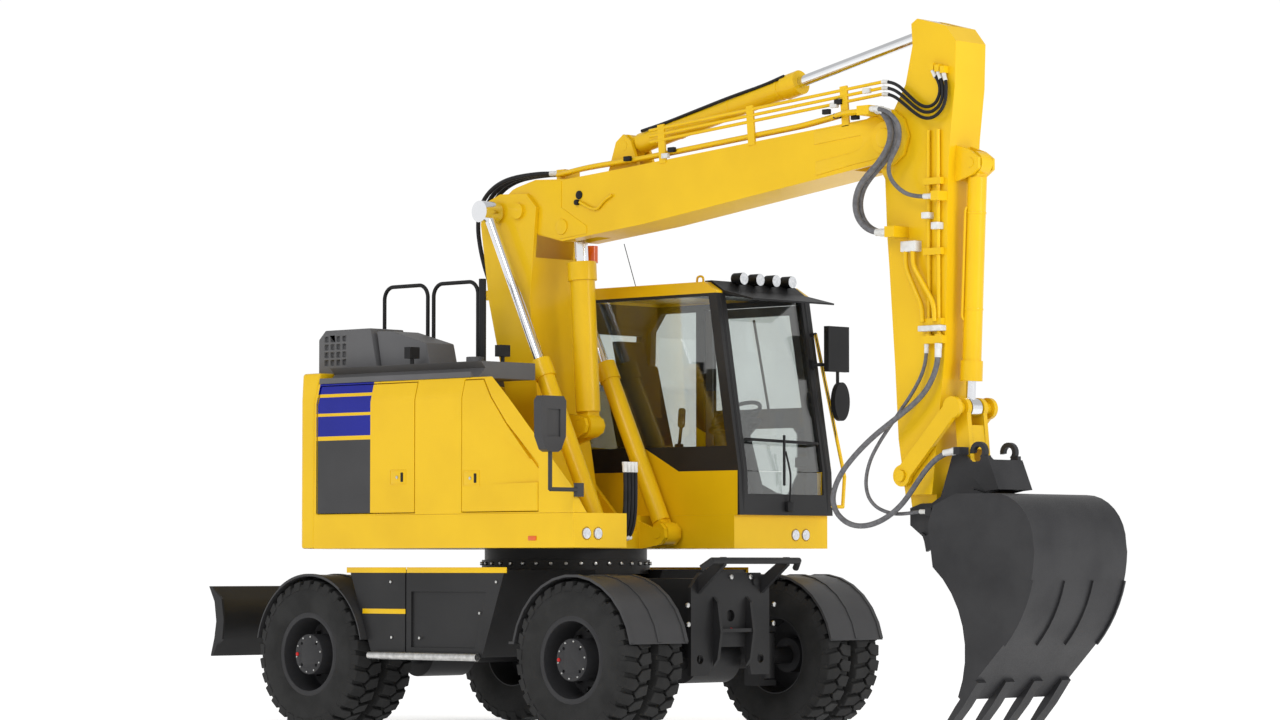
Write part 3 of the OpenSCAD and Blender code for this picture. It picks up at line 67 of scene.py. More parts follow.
Point = tuple[float, float, float]
Flat = tuple[float, float]
Colour = tuple[float, float, float]
Quad = tuple[float, float, float, float]
Piece = bpy.types.Object
Tree = bpy.types.NodeTree
Node = bpy.types.Node

# Degrees: edges flatter than these are shaded smooth, and faces flatter than the last become one.
SMOOTH_BELOW = 35.0
TUBE_SMOOTH_BELOW = 40.0
FLAT_BELOW = 0.6
# Metres: corners nearer than this are one corner.
WELD = 0.00005
# Where the patches' two tones end, and the span of the grain that moves the gloss.
TONE_STOPS = (0.35, 0.62)
GRAIN_SPAN = (0.3, 0.7)
PATCH_DETAIL, GRAIN_DETAIL, HAZE_DETAIL = 5.0, 3.0, 2.0
COAT_ROUGHNESS = 0.12
# A hose's ferrule: its length in hose radii, then each step's start and end as shares of that length,
# its radius in hose radii and its sides.
FERRULE_LENGTH = 5.0
COLLAR = (0.25, 1.0, 1.22, 16)
NUT = (0.0, 0.35, 1.42, 6)
PINS: dict[str, Vector] = {
    joint["name"]: Vector(joint["pos_m"]) for joint in frame["joints"] if "pos_m" in joint
}
BODY_OF: dict[str, str] = {
    node: body for body, nodes in frame["record"]["behaviour"]["bodies"].items() for node in nodes
}


class Side(Enum):
    """The machine's two sides, as the sign of Y."""

    LEFT = 1
    RIGHT = -1


@dataclass(frozen=True)
class Look:
    """How a surface looks; its material is made on the first use.

    Attributes:
        name: Name of the material.
        slot: Slot of the record that the look belongs to; not used.
    """

    name: str
    slot: str

    def material(self) -> bpy.types.Material:
        """Gives the material of this look."""
        made = bpy.data.materials.get(self.name)
        if made is None:
            made = bpy.data.materials.new(self.name)
            made.use_nodes = True
            self._wire(made.node_tree)
        return made

    def _wire(self, tree: Tree) -> None:
        """Fills the material's node tree."""
        raise NotImplementedError

    @staticmethod
    def _node(tree: Tree, kind: str, **values: float) -> Node:
        """Adds a node.

        Args:
            tree: Node tree to add to.
            kind: Type of the node, without the shader prefix.
            **values: Constants by socket, with _ for a space in its name.

        Returns:
            The node.
        """
        node = tree.nodes.new("ShaderNode" + kind)
        for socket, value in values.items():
            node.inputs[socket.replace("_", " ")].default_value = value
        return node

    @staticmethod
    def _noise(tree: Tree, scale: float, detail: float) -> Node:
        """Adds a noise pattern on the piece's own coordinates.

        Args:
            tree: Node tree to add to.
            scale: Pattern size, in repeats per metre.
            detail: Octaves of the pattern.

        Returns:
            The noise node.
        """
        coords = Look._node(tree, "TexCoord")
        noise = Look._node(tree, "TexNoise", Scale=scale, Detail=detail)
        tree.links.new(coords.outputs["Object"], noise.inputs["Vector"])
        return noise

    @staticmethod
    def _tones(tree: Tree, pattern: Node, stops: Flat, tones: Sequence[Colour]) -> Node:
        """Adds a blend of two colours along a pattern.

        Args:
            tree: Node tree to add to.
            pattern: Noise node that drives it.
            stops: Where each colour is full.
            tones: The two colours.

        Returns:
            The ramp node.
        """
        ramp = Look._node(tree, "ValToRGB")
        for element, stop, tone in zip(ramp.color_ramp.elements, stops, tones):
            element.position = stop
            element.color = (*tone, 1.0)
        tree.links.new(pattern.outputs["Fac"], ramp.inputs["Fac"])
        return ramp


@dataclass(frozen=True)
class Finish(Look):
    """A surface with patches of tone, grain in its gloss and a fine relief.

    Attributes:
        colour: Main colour, linear.
        shade: Colour of the darker patches, linear.
        roughness: Middle roughness.
        spread: How far the grain moves the roughness either way.
        metallic: Share of bare metal.
        coat: Weight of the clear coat.
        patch: Patches per metre.
        grain: Grains per metre.
        relief: Height of the grain in metres.
        bump: Strength of the relief.
        glow: Strength of light given off, for the studio floor.
        mirror: Level of the reflection at the bare face.
    """

    colour: Colour
    shade: Colour
    roughness: float
    spread: float = 0.08
    metallic: float = 0.0
    coat: float = 0.0
    patch: float = 2.0
    grain: float = 240.0
    relief: float = 0.0004
    bump: float = 0.2
    glow: float = 0.0
    mirror: float = 0.22

    def _wire(self, tree: Tree) -> None:
        """Links the patches to the colour, and the grain to the gloss and the relief."""
        shader = tree.nodes["Principled BSDF"]
        constants = {"Metallic": self.metallic, "Specular IOR Level": self.mirror,
                     "Coat Weight": self.coat, "Coat Roughness": COAT_ROUGHNESS}
        if self.glow > 0.0:
            constants |= {"Emission Color": (*self.colour, 1.0), "Emission Strength": self.glow}
        for socket, value in constants.items():
            shader.inputs[socket].default_value = value
        patches = self._noise(tree, self.patch, PATCH_DETAIL)
        tones = self._tones(tree, patches, TONE_STOPS, (self.shade, self.colour))
        grain = self._noise(tree, self.grain, GRAIN_DETAIL)
        gloss = self._node(tree, "MapRange", From_Min=GRAIN_SPAN[0], From_Max=GRAIN_SPAN[1],
                           To_Min=max(0.02, self.roughness - self.spread),
                           To_Max=min(1.0, self.roughness + self.spread))
        bump = self._node(tree, "Bump", Strength=self.bump, Distance=self.relief)
        for start, end in (
            (tones.outputs["Color"], shader.inputs["Base Color"]),
            (grain.outputs["Fac"], gloss.inputs["Value"]),
            (gloss.outputs["Result"], shader.inputs["Roughness"]),
            (grain.outputs["Fac"], bump.inputs["Height"]),
            (bump.outputs["Normal"], shader.inputs["Normal"]),
        ):
            tree.links.new(start, end)


@dataclass(frozen=True)
class Pane(Look):
    """Thin window glass: mostly clear, with a tint and a reflection at its face.

    Attributes:
        tint: Colour of the light that comes through, linear.
        deep: Share of that light in the darker clouds.
        clouds: Clouds per metre.
        roughness: Roughness of the reflection.
        blend: How early the reflection grows towards a grazing view.
        mirror: Share of the reflection, facing and grazing.
    """

    tint: Colour
    deep: float = 0.9
    clouds: float = 1.5
    roughness: float = 0.03
    blend: float = 0.25
    mirror: Flat = (0.02, 0.55)

    def _wire(self, tree: Tree) -> None:
        """Mixes the clear tint with the reflection."""
        tree.nodes.remove(tree.nodes["Principled BSDF"])
        haze = self._noise(tree, self.clouds, HAZE_DETAIL)
        deep = tuple(self.deep * c for c in self.tint)
        tones = self._tones(tree, haze, (0.0, 1.0), (deep, self.tint))
        clear = self._node(tree, "BsdfTransparent")
        gloss = self._node(tree, "BsdfGlossy", Roughness=self.roughness)
        edge = self._node(tree, "LayerWeight", Blend=self.blend)
        share = self._node(tree, "MapRange", To_Min=self.mirror[0], To_Max=self.mirror[1])
        mix = self._node(tree, "MixShader")
        for start, end in (
            (tones.outputs["Color"], clear.inputs["Color"]),
            (edge.outputs["Facing"], share.inputs["Value"]),
            (share.outputs["Result"], mix.inputs["Fac"]),
            (clear.outputs["BSDF"], mix.inputs[1]),
            (gloss.outputs["BSDF"], mix.inputs[2]),
            (mix.outputs["Shader"], tree.nodes["Material Output"].inputs["Surface"]),
        ):
            tree.links.new(start, end)


YELLOW = Finish("yellow_gloss", "yellow_paint", (0.80, 0.50, 0.006), (0.75, 0.46, 0.005), 0.34, 0.05,
                coat=0.12, grain=320.0, relief=0.0002, bump=0.10)
DARK = Finish("dark_satin", "dark_paint", (0.021, 0.021, 0.022), (0.015, 0.015, 0.016), 0.46, 0.08,
              coat=0.05, grain=300.0, bump=0.15)
TRIM = Finish("trim_grey", "dark_paint", (0.120, 0.120, 0.124), (0.100, 0.100, 0.104), 0.55, 0.08,
              grain=420.0, bump=0.25)
BLACK = Finish("black_moulded", "dark_paint", (0.012, 0.012, 0.013), (0.008, 0.008, 0.009), 0.5, 0.1,
               grain=500.0, bump=0.3)
RUBBER = Finish("tyre_rubber_worn", "tyre_rubber", (0.022, 0.022, 0.022), (0.014, 0.014, 0.014), 0.72, 0.1,
                patch=6.0, grain=260.0, relief=0.0008, bump=0.35)
RIM = Finish("rim_satin", "rim_paint", (0.032, 0.032, 0.034), (0.024, 0.024, 0.026), 0.48, 0.08, grain=260.0)
CHROME = Finish("rod_plate", "rod_chrome", (0.80, 0.81, 0.83), (0.74, 0.75, 0.77), 0.14, 0.04, metallic=1.0,
                grain=60.0, bump=0.03)
STEEL = Finish("bright_steel", "rod_chrome", (0.62, 0.62, 0.61), (0.45, 0.45, 0.44), 0.34, 0.1, metallic=1.0,
               patch=30.0, bump=0.1)
IRON = Finish("engine_casting", "engine_iron", (0.16, 0.165, 0.17), (0.10, 0.10, 0.105), 0.6, 0.1, bump=0.4)
CABIN = Finish("cabin_trim", "cab_trim", (0.022, 0.022, 0.024), (0.015, 0.015, 0.016), 0.7, 0.1, grain=600.0,
               bump=0.4)
TOOL = Finish("tool_satin", "tool_steel", (0.034, 0.034, 0.036), (0.022, 0.022, 0.024), 0.44, 0.1,
              patch=3.0, grain=160.0, relief=0.0006, bump=0.25)
BLUE = Finish("stripe_blue", "yellow_paint", (0.007, 0.012, 0.27), (0.005, 0.010, 0.23), 0.32, 0.05,
              coat=0.05)
PANEL = Finish("panel_charcoal", "dark_paint", (0.050, 0.050, 0.052), (0.040, 0.040, 0.042), 0.4, 0.06)
GLASS = Pane("window_tint", "window_glass", (0.90, 0.925, 0.915))
AMBER = Finish("amber_lens", "yellow_paint", (0.75, 0.13, 0.01), (0.6, 0.09, 0.008), 0.2, 0.05, coat=0.6)
LENS = Finish("lamp_lens", "rod_chrome", (0.75, 0.77, 0.80), (0.55, 0.57, 0.60), 0.08, 0.04, metallic=0.6,
              coat=1.0, patch=60.0)
WHITE = Finish("white_sleeve", "rod_chrome", (0.72, 0.72, 0.70), (0.60, 0.60, 0.58), 0.42, 0.08, patch=20.0)
HOSE = Finish("hose_black", "hose_rubber", (0.016, 0.016, 0.018), (0.010, 0.010, 0.011), 0.58, 0.1,
              patch=12.0, grain=420.0, relief=0.0008, bump=0.4)
SLEEVE = Finish("hose_grey", "hose_rubber", (0.155, 0.155, 0.165), (0.105, 0.105, 0.112), 0.52, 0.1,
                patch=40.0, grain=380.0, relief=0.001, bump=0.5)
RED = Finish("red_plug", "dark_paint", (0.55, 0.01, 0.01), (0.4, 0.008, 0.008), 0.4, 0.06)
FLOOR = Finish("floor_pale", "floor", (0.88, 0.88, 0.88), (0.86, 0.86, 0.86), 0.8, 0.05, patch=0.4,
               grain=20.0, bump=0.02, glow=0.52)


class Bench:
    """Modelling moves that every sub-assembly shares."""

    @staticmethod
    def clear() -> None:
        """Selects nothing, in object mode."""
        active = bpy.context.view_layer.objects.active
        if active is not None and active.mode != "OBJECT":
            bpy.ops.object.mode_set(mode="OBJECT")
        for item in bpy.context.selected_objects:
            item.select_set(False)

    @staticmethod
    def pick(piece: Piece) -> None:
        """Makes one piece the only one selected, and active."""
        Bench.clear()
        piece.select_set(True)
        bpy.context.view_layer.objects.active = piece

    @staticmethod
    @contextmanager
    def editing(piece: Piece) -> Iterator[None]:
        """Opens a piece in edit mode with all of it selected."""
        Bench.pick(piece)
        bpy.ops.object.mode_set(mode="EDIT")
        bpy.ops.mesh.select_all(action="SELECT")
        yield
        bpy.ops.object.mode_set(mode="OBJECT")

    @staticmethod
    def ring(count: int, filled: bool = True) -> Piece:
        """Makes a flat ring of corners, which the caller moves to their places."""
        Bench.clear()
        bpy.ops.mesh.primitive_circle_add(vertices=count, fill_type="NGON" if filled else "NOTHING")
        return bpy.context.object

    @staticmethod
    def settle(piece: Piece) -> Piece:
        """Puts a piece's place, turn and scale into its mesh."""
        Bench.pick(piece)
        bpy.ops.object.transform_apply(location=True, rotation=True, scale=True)
        return piece

    @staticmethod
    def ease(piece: Piece, width: float, steps: int = 2, angle: float = SMOOTH_BELOW) -> Piece:
        """Rounds the sharp edges of a piece.

        Args:
            piece: Piece to work on.
            width: Width of the rounding in metres.
            steps: Faces across the rounding.
            angle: Edges sharper than this, in degrees, are rounded.

        Returns:
            The piece.
        """
        Bench.pick(piece)
        if width > 0.0:
            bevel = piece.modifiers.new("ease", "BEVEL")
            bevel.width = width
            bevel.segments = steps
            bevel.limit_method = "ANGLE"
            bevel.angle_limit = math.radians(angle)
            bevel.use_clamp_overlap = True
            bpy.ops.object.modifier_apply(modifier=bevel.name)
        bpy.ops.object.shade_smooth_by_angle(angle=math.radians(angle))
        return piece

    @staticmethod
    def block(name: str, low: Point, high: Point, edge: float = 0.004) -> Piece:
        """Makes a block with eased edges.

        Args:
            name: Name of the piece.
            low: Lowest corner.
            high: Highest corner.
            edge: Width of the eased edges.

        Returns:
            The piece.
        """
        Bench.clear()
        middle = [(a + b) / 2 for a, b in zip(low, high)]
        bpy.ops.mesh.primitive_cube_add(size=1.0, location=middle)
        piece = bpy.context.object
        piece.name = name
        piece.scale = [b - a for a, b in zip(low, high)]
        Bench.settle(piece)
        return Bench.ease(piece, edge)

    @staticmethod
    def bar(
        name: str, start: Point, end: Point, radius: float, sides: int = 20, edge: float = 0.002
    ) -> Piece:
        """Makes a round bar with eased rims.

        Args:
            name: Name of the piece.
            start: Middle of one end.
            end: Middle of the other end.
            radius: Radius of the bar.
            sides: Number of faces around it.
            edge: Width of the eased rims.

        Returns:
            The piece.
        """
        Bench.clear()
        way = Vector(end) - Vector(start)
        bpy.ops.mesh.primitive_cylinder_add(
            vertices=sides, radius=radius, depth=way.length,
            location=(Vector(start) + Vector(end)) / 2, rotation=way.to_track_quat("Z", "Y").to_euler(),
        )
        piece = bpy.context.object
        piece.name = name
        Bench.settle(piece)
        return Bench.ease(piece, edge)

    @staticmethod
    def plate(name: str, outline: Sequence[Flat], low: float, high: float, edge: float = 0.002) -> Piece:
        """Makes a plate of a given outline, with its thickness along Y.

        Args:
            name: Name of the piece.
            outline: Corners in X and Z.
            low: Y of its right face.
            high: Y of its left face.
            edge: Width of the eased edges.

        Returns:
            The piece.
        """
        piece = Bench.ring(len(outline))
        piece.name = name
        for corner, (x, z) in zip(piece.data.vertices, outline):
            corner.co = (x, low, z)
        with Bench.editing(piece):
            bpy.ops.mesh.extrude_region_move(TRANSFORM_OT_translate={"value": (0.0, high - low, 0.0)})
            bpy.ops.mesh.select_all(action="SELECT")
            bpy.ops.mesh.normals_make_consistent(inside=False)
        Bench.settle(piece)
        return Bench.ease(piece, edge)

    @staticmethod
    def round_path(points: Sequence[Point], radius: float, steps: int = 5) -> list[Vector]:
        """Rounds the corners of a path.

        Args:
            points: Corners of the path.
            radius: Radius of the bends.
            steps: Points along each bend.

        Returns:
            The points of the rounded path.
        """
        corners = [Vector(p) for p in points]
        path = [corners[0]]
        for before, here, after in zip(corners, corners[1:], corners[2:]):
            into, out = (before - here), (after - here)
            reach = min(radius, 0.45 * into.length, 0.45 * out.length)
            start, end = here + into.normalized() * reach, here + out.normalized() * reach
            for k in range(steps + 1):
                t = k / steps
                path.append(start * (1 - t) ** 2 + here * (2 * t * (1 - t)) + end * t ** 2)
        path.append(corners[-1])
        return path

    @staticmethod
    def tube(
        name: str, points: Sequence[Point], radius: float, bend: float = 0.05, sides: int = 3
    ) -> Piece:
        """Makes a round tube along a path with rounded bends.

        Args:
            name: Name of the piece.
            points: Corners of the path.
            radius: Radius of the tube.
            bend: Radius of its bends, or 0 for a path that is smooth as it is.
            sides: Resolution of its round section.

        Returns:
            The piece, as a closed mesh.
        """
        path = Bench.round_path(points, bend) if bend > 0.0 else [Vector(p) for p in points]
        Bench.clear()
        curve = bpy.data.curves.new(name, "CURVE")
        curve.dimensions = "3D"
        curve.bevel_depth = radius
        curve.bevel_resolution = sides
        curve.use_fill_caps = True
        spline = curve.splines.new("POLY")
        spline.points.add(len(path) - 1)
        for knot, place in zip(spline.points, path):
            knot.co = (*place, 1.0)
        piece = bpy.data.objects.new(name, curve)
        bpy.context.scene.collection.objects.link(piece)
        Bench.pick(piece)
        bpy.ops.object.convert(target="MESH")
        piece = bpy.context.object
        bpy.ops.object.shade_smooth_by_angle(angle=math.radians(TUBE_SMOOTH_BELOW))
        return piece

    @staticmethod
    def flow(points: Sequence[Point], steps: int = 4) -> list[Vector]:
        """Gives a smooth line through every point of a route.

        Args:
            points: Points of the route.
            steps: Points of the line for each stretch of the route.

        Returns:
            The points of the line.
        """
        knots = [Vector(p) for p in points]
        ends = [2 * knots[0] - knots[1], *knots, 2 * knots[-1] - knots[-2]]
        line = []
        for a, b, c, d in zip(ends, ends[1:], ends[2:], ends[3:]):
            for k in range(steps):
                t = k / steps
                line.append(0.5 * (2 * b + (c - a) * t + (2 * a - 5 * b + 4 * c - d) * t ** 2
                                   + (3 * b - a - 3 * c + d) * t ** 3))
        return [*line, knots[-1]]

    @staticmethod
    def carve(piece: Piece, cutter: Piece) -> Piece:
        """Cuts one piece out of another and removes the cutter.

        Args:
            piece: Piece to cut.
            cutter: Closed mesh that is taken away.

        Returns:
            The cut piece.
        """
        Bench.pick(piece)
        cut = piece.modifiers.new("carve", "BOOLEAN")
        cut.operation = "DIFFERENCE"
        cut.object = cutter
        bpy.ops.object.modifier_apply(modifier=cut.name)
        bpy.data.objects.remove(cutter)
        bpy.ops.object.shade_smooth_by_angle(angle=math.radians(SMOOTH_BELOW))
        return piece

    @staticmethod
    def join(name: str, pieces: Iterable[Piece]) -> Piece:
        """Joins pieces into one.

        Args:
            name: Name of the joined piece.
            pieces: Pieces to join.

        Returns:
            The joined piece.
        """
        parts = list(pieces)
        Bench.clear()
        for part in parts:
            part.select_set(True)
        bpy.context.view_layer.objects.active = parts[0]
        if len(parts) > 1:
            bpy.ops.object.join()
        piece = bpy.context.object
        piece.name = name
        return piece

    @staticmethod
    def copy(piece: Piece, move: Matrix) -> Piece:
        """Copies a piece with its own mesh, moved by a matrix.

        Args:
            piece: Piece to copy.
            move: Where the copy goes from the original's place.

        Returns:
            The copy.
        """
        twin = piece.copy()
        twin.data = piece.data.copy()
        twin.data.transform(move)
        if move.determinant() < 0:
            twin.data.flip_normals()
        bpy.context.scene.collection.objects.link(twin)
        return twin

    @staticmethod
    def row(name: str, piece: Piece, moves: Iterable[Matrix]) -> Piece:
        """Repeats a piece at each move and joins the copies; the pattern piece is removed.

        Args:
            name: Name of the joined piece.
            piece: Pattern piece.
            moves: One matrix for each copy.

        Returns:
            The joined row.
        """
        copies = [Bench.copy(piece, move) for move in moves]
        bpy.data.objects.remove(piece)
        return Bench.join(name, copies)

    @staticmethod
    def dress(
        piece: Piece, look: Look, body: str, *nodes: str
    ) -> Piece:
        """Gives a piece its look and its body.

        Args:
            piece: Piece to dress.
            look: How it looks.
            body: Body that it moves with.
            *nodes: Solids that it stands for.

        Returns:
            The piece.
        """
        piece.data.materials.clear()
        piece.data.materials.append(look.material())
        if nodes:
            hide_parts(*nodes)
        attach(piece, body)
        LOG.info("%s rides on %s", piece.name, body)
        return piece

    @staticmethod
    def group(name: str, pieces: Iterable[Piece], look: Look, body: str, *nodes: str) -> Piece:
        """Joins pieces into one and dresses it, with the arguments of join and dress."""
        return Bench.dress(Bench.join(name, pieces), look, body, *nodes)

    @staticmethod
    def skin(node: str, look: Look, edge: float) -> Piece:
        """Makes a copy of a solid with eased edges, which stands for it.

        Args:
            node: Name of the solid.
            look: How it looks.
            edge: Width of the eased edges.

        Returns:
            The dressed copy.
        """
        piece = bpy.data.objects.new(node + "_skin", frame["nodes"][node].data.copy())
        bpy.context.scene.collection.objects.link(piece)
        Bench.pick(piece)
        bpy.ops.mesh.customdata_custom_splitnormals_clear()
        with Bench.editing(piece):
            bpy.ops.mesh.remove_doubles(threshold=WELD)
            bpy.ops.mesh.dissolve_limited(angle_limit=math.radians(FLAT_BELOW))
        Bench.ease(piece, edge)
        return Bench.dress(piece, look, BODY_OF[node], node)

    @staticmethod
    def even(piece: Piece) -> None:
        """Keeps a piece's flat faces flat in the light between its eased edges."""
        Bench.pick(piece)
        weigh = piece.modifiers.new("even", "WEIGHTED_NORMAL")
        weigh.weight = 100
        weigh.keep_sharp = True
        bpy.ops.object.modifier_apply(modifier=weigh.name)

    @staticmethod
    def zone(
        piece: Piece, look: Look, inside: Callable[[Vector], bool],
        cuts: Iterable[tuple[Point, Point]] = (),
    ) -> None:
        """Paints the faces whose middles pass a test in a second look.

        Args:
            piece: Piece to paint.
            look: How the zone looks.
            inside: Test of a face's middle.
            cuts: Planes, as a point and a normal, that first cut the faces at the zone's border.
        """
        with Bench.editing(piece):
            for place, normal in cuts:
                bpy.ops.mesh.select_all(action="SELECT")
                bpy.ops.mesh.bisect(plane_co=place, plane_no=normal)
        piece.data.materials.append(look.material())
        index = len(piece.data.materials) - 1
        for face in piece.data.polygons:
            if inside(face.center):
                face.material_index = index


@dataclass
class Studio:
    """Floor, light and the camera at the viewing angle of the photograph."""

    camera_at: Point = (20.260, -20.303, 1.140)
    camera_tip: float = 92.9
    camera_turn: float = 43.9
    lens: float = 114.75
    sensor: float = 36.0
    floor_size: float = 160.0
    horizon_light: float = 1.02
    sky_light: float = 0.62
    sky_stops: Flat = (0.22, 0.45)
    reach: float = 400.0
    aim: Point = (1.0, 0.0, 1.6)
    lights: tuple[tuple[str, Point, float, float], ...] = (  # name, place, size, power
        ("key_light", (6.0, -17.0, 14.0), 7.0, 920.0), ("front_light", (19.0, 1.0, 7.0), 6.0, 850.0),
    )

    def build(self) -> None:
        """Makes the camera, the lights, the sky and the floor."""
        self._camera()
        self._sky()
        for name, place, size, power in self.lights:
            self._softbox(name, place, size, power)
        self._floor()

    def _camera(self) -> None:
        """Puts the camera where the photograph was taken."""
        Bench.clear()
        bpy.ops.object.camera_add(location=self.camera_at)
        camera = bpy.context.object
        camera.rotation_euler = (math.radians(self.camera_tip), 0.0, math.radians(self.camera_turn))
        camera.data.lens = self.lens
        camera.data.sensor_width = self.sensor
        camera.data.clip_end = self.reach
        bpy.context.scene.camera = camera

    def _sky(self) -> None:
        """Sets a surrounding that is white at the horizon and greyer overhead."""
        scene = bpy.context.scene
        scene.view_settings.view_transform = "Standard"
        world = bpy.data.worlds.new("studio_white")
        world.use_nodes = True
        tree = world.node_tree
        coords = tree.nodes.new("ShaderNodeTexCoord")
        height = tree.nodes.new("ShaderNodeSeparateXYZ")
        ramp = tree.nodes.new("ShaderNodeValToRGB")
        low, high = ramp.color_ramp.elements
        low.position, high.position = self.sky_stops
        low.color = (self.horizon_light, self.horizon_light, self.horizon_light, 1.0)
        high.color = (self.sky_light, self.sky_light, self.sky_light, 1.0)
        tree.links.new(coords.outputs["Generated"], height.inputs["Vector"])
        tree.links.new(height.outputs["Z"], ramp.inputs["Fac"])
        tree.links.new(ramp.outputs["Color"], tree.nodes["Background"].inputs["Color"])
        scene.world = world

    def _softbox(self, name: str, place: Point, size: float, power: float) -> None:
        """Adds a square softbox that faces the machine.

        Args:
            name: Name of the light.
            place: Where it stands.
            size: Length of its sides.
            power: Its power in watts.
        """
        Bench.clear()
        bpy.ops.object.light_add(type="AREA", location=place)
        light = bpy.context.object
        light.name = name
        light.data.size = size
        light.data.energy = power
        light.rotation_euler = (Vector(self.aim) - Vector(place)).to_track_quat("-Z", "Y").to_euler()

    def _floor(self) -> None:
        """Lays the pale floor."""
        Bench.clear()
        bpy.ops.mesh.primitive_plane_add(size=self.floor_size, location=(0.0, 0.0, 0.0))
        floor = bpy.context.object
        floor.name = "studio_floor"
        floor.data.materials.append(FLOOR.material())


@dataclass(frozen=True)
class Hose:
    """One hose, from the gland on one body to the gland on another.

    Attributes:
        name: Name of the piece.
        node: Solid that it stands for.
        finish: Its cover.
        radius: Outer radius.
        start_body: Body of the first gland.
        end_body: Body of the second gland.
        route: Points that it follows.
        shift: Where the route is moved to, for hoses that run side by side.
    """

    name: str
    node: str
    finish: Finish
    radius: float
    start_body: str
    end_body: str
    route: tuple[Point, ...]
    shift: Point = (0.0, 0.0, 0.0)

    def build(self) -> None:
        """Makes the hose with a crimped ferrule at each end."""
        points = [tuple(Vector(p) + Vector(self.shift)) for p in self.route]
        line = Bench.flow(points)
        piece = Bench.tube(self.name, line, self.radius, bend=0.0, sides=4)
        ends = [self._ferrule(f"{self.name}_ferrule_a", line, self.start_body),
                self._ferrule(f"{self.name}_ferrule_b", line[::-1], self.end_body)]
        piece.data.materials.append(self.finish.material())
        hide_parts(self.node)
        if self.start_body == self.end_body:
            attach(piece, self.start_body)
        else:
            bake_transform(piece)

    def _ferrule(self, name: str, line: Sequence[Vector], body: str) -> Piece:
        """Makes the stepped steel collar at an end.

        Args:
            name: Name of the piece.
            line: The hose's line, from this end on.
            body: Body of the gland.

        Returns:
            The collar.
        """
        way = FERRULE_LENGTH * self.radius * (line[1] - line[0]).normalized()
        steps = [Bench.bar("step", line[0] + low * way, line[0] + high * way, wide * self.radius, sides)
                 for low, high, wide, sides in (COLLAR, NUT)]
        return Bench.group(name, steps, WHITE, body)


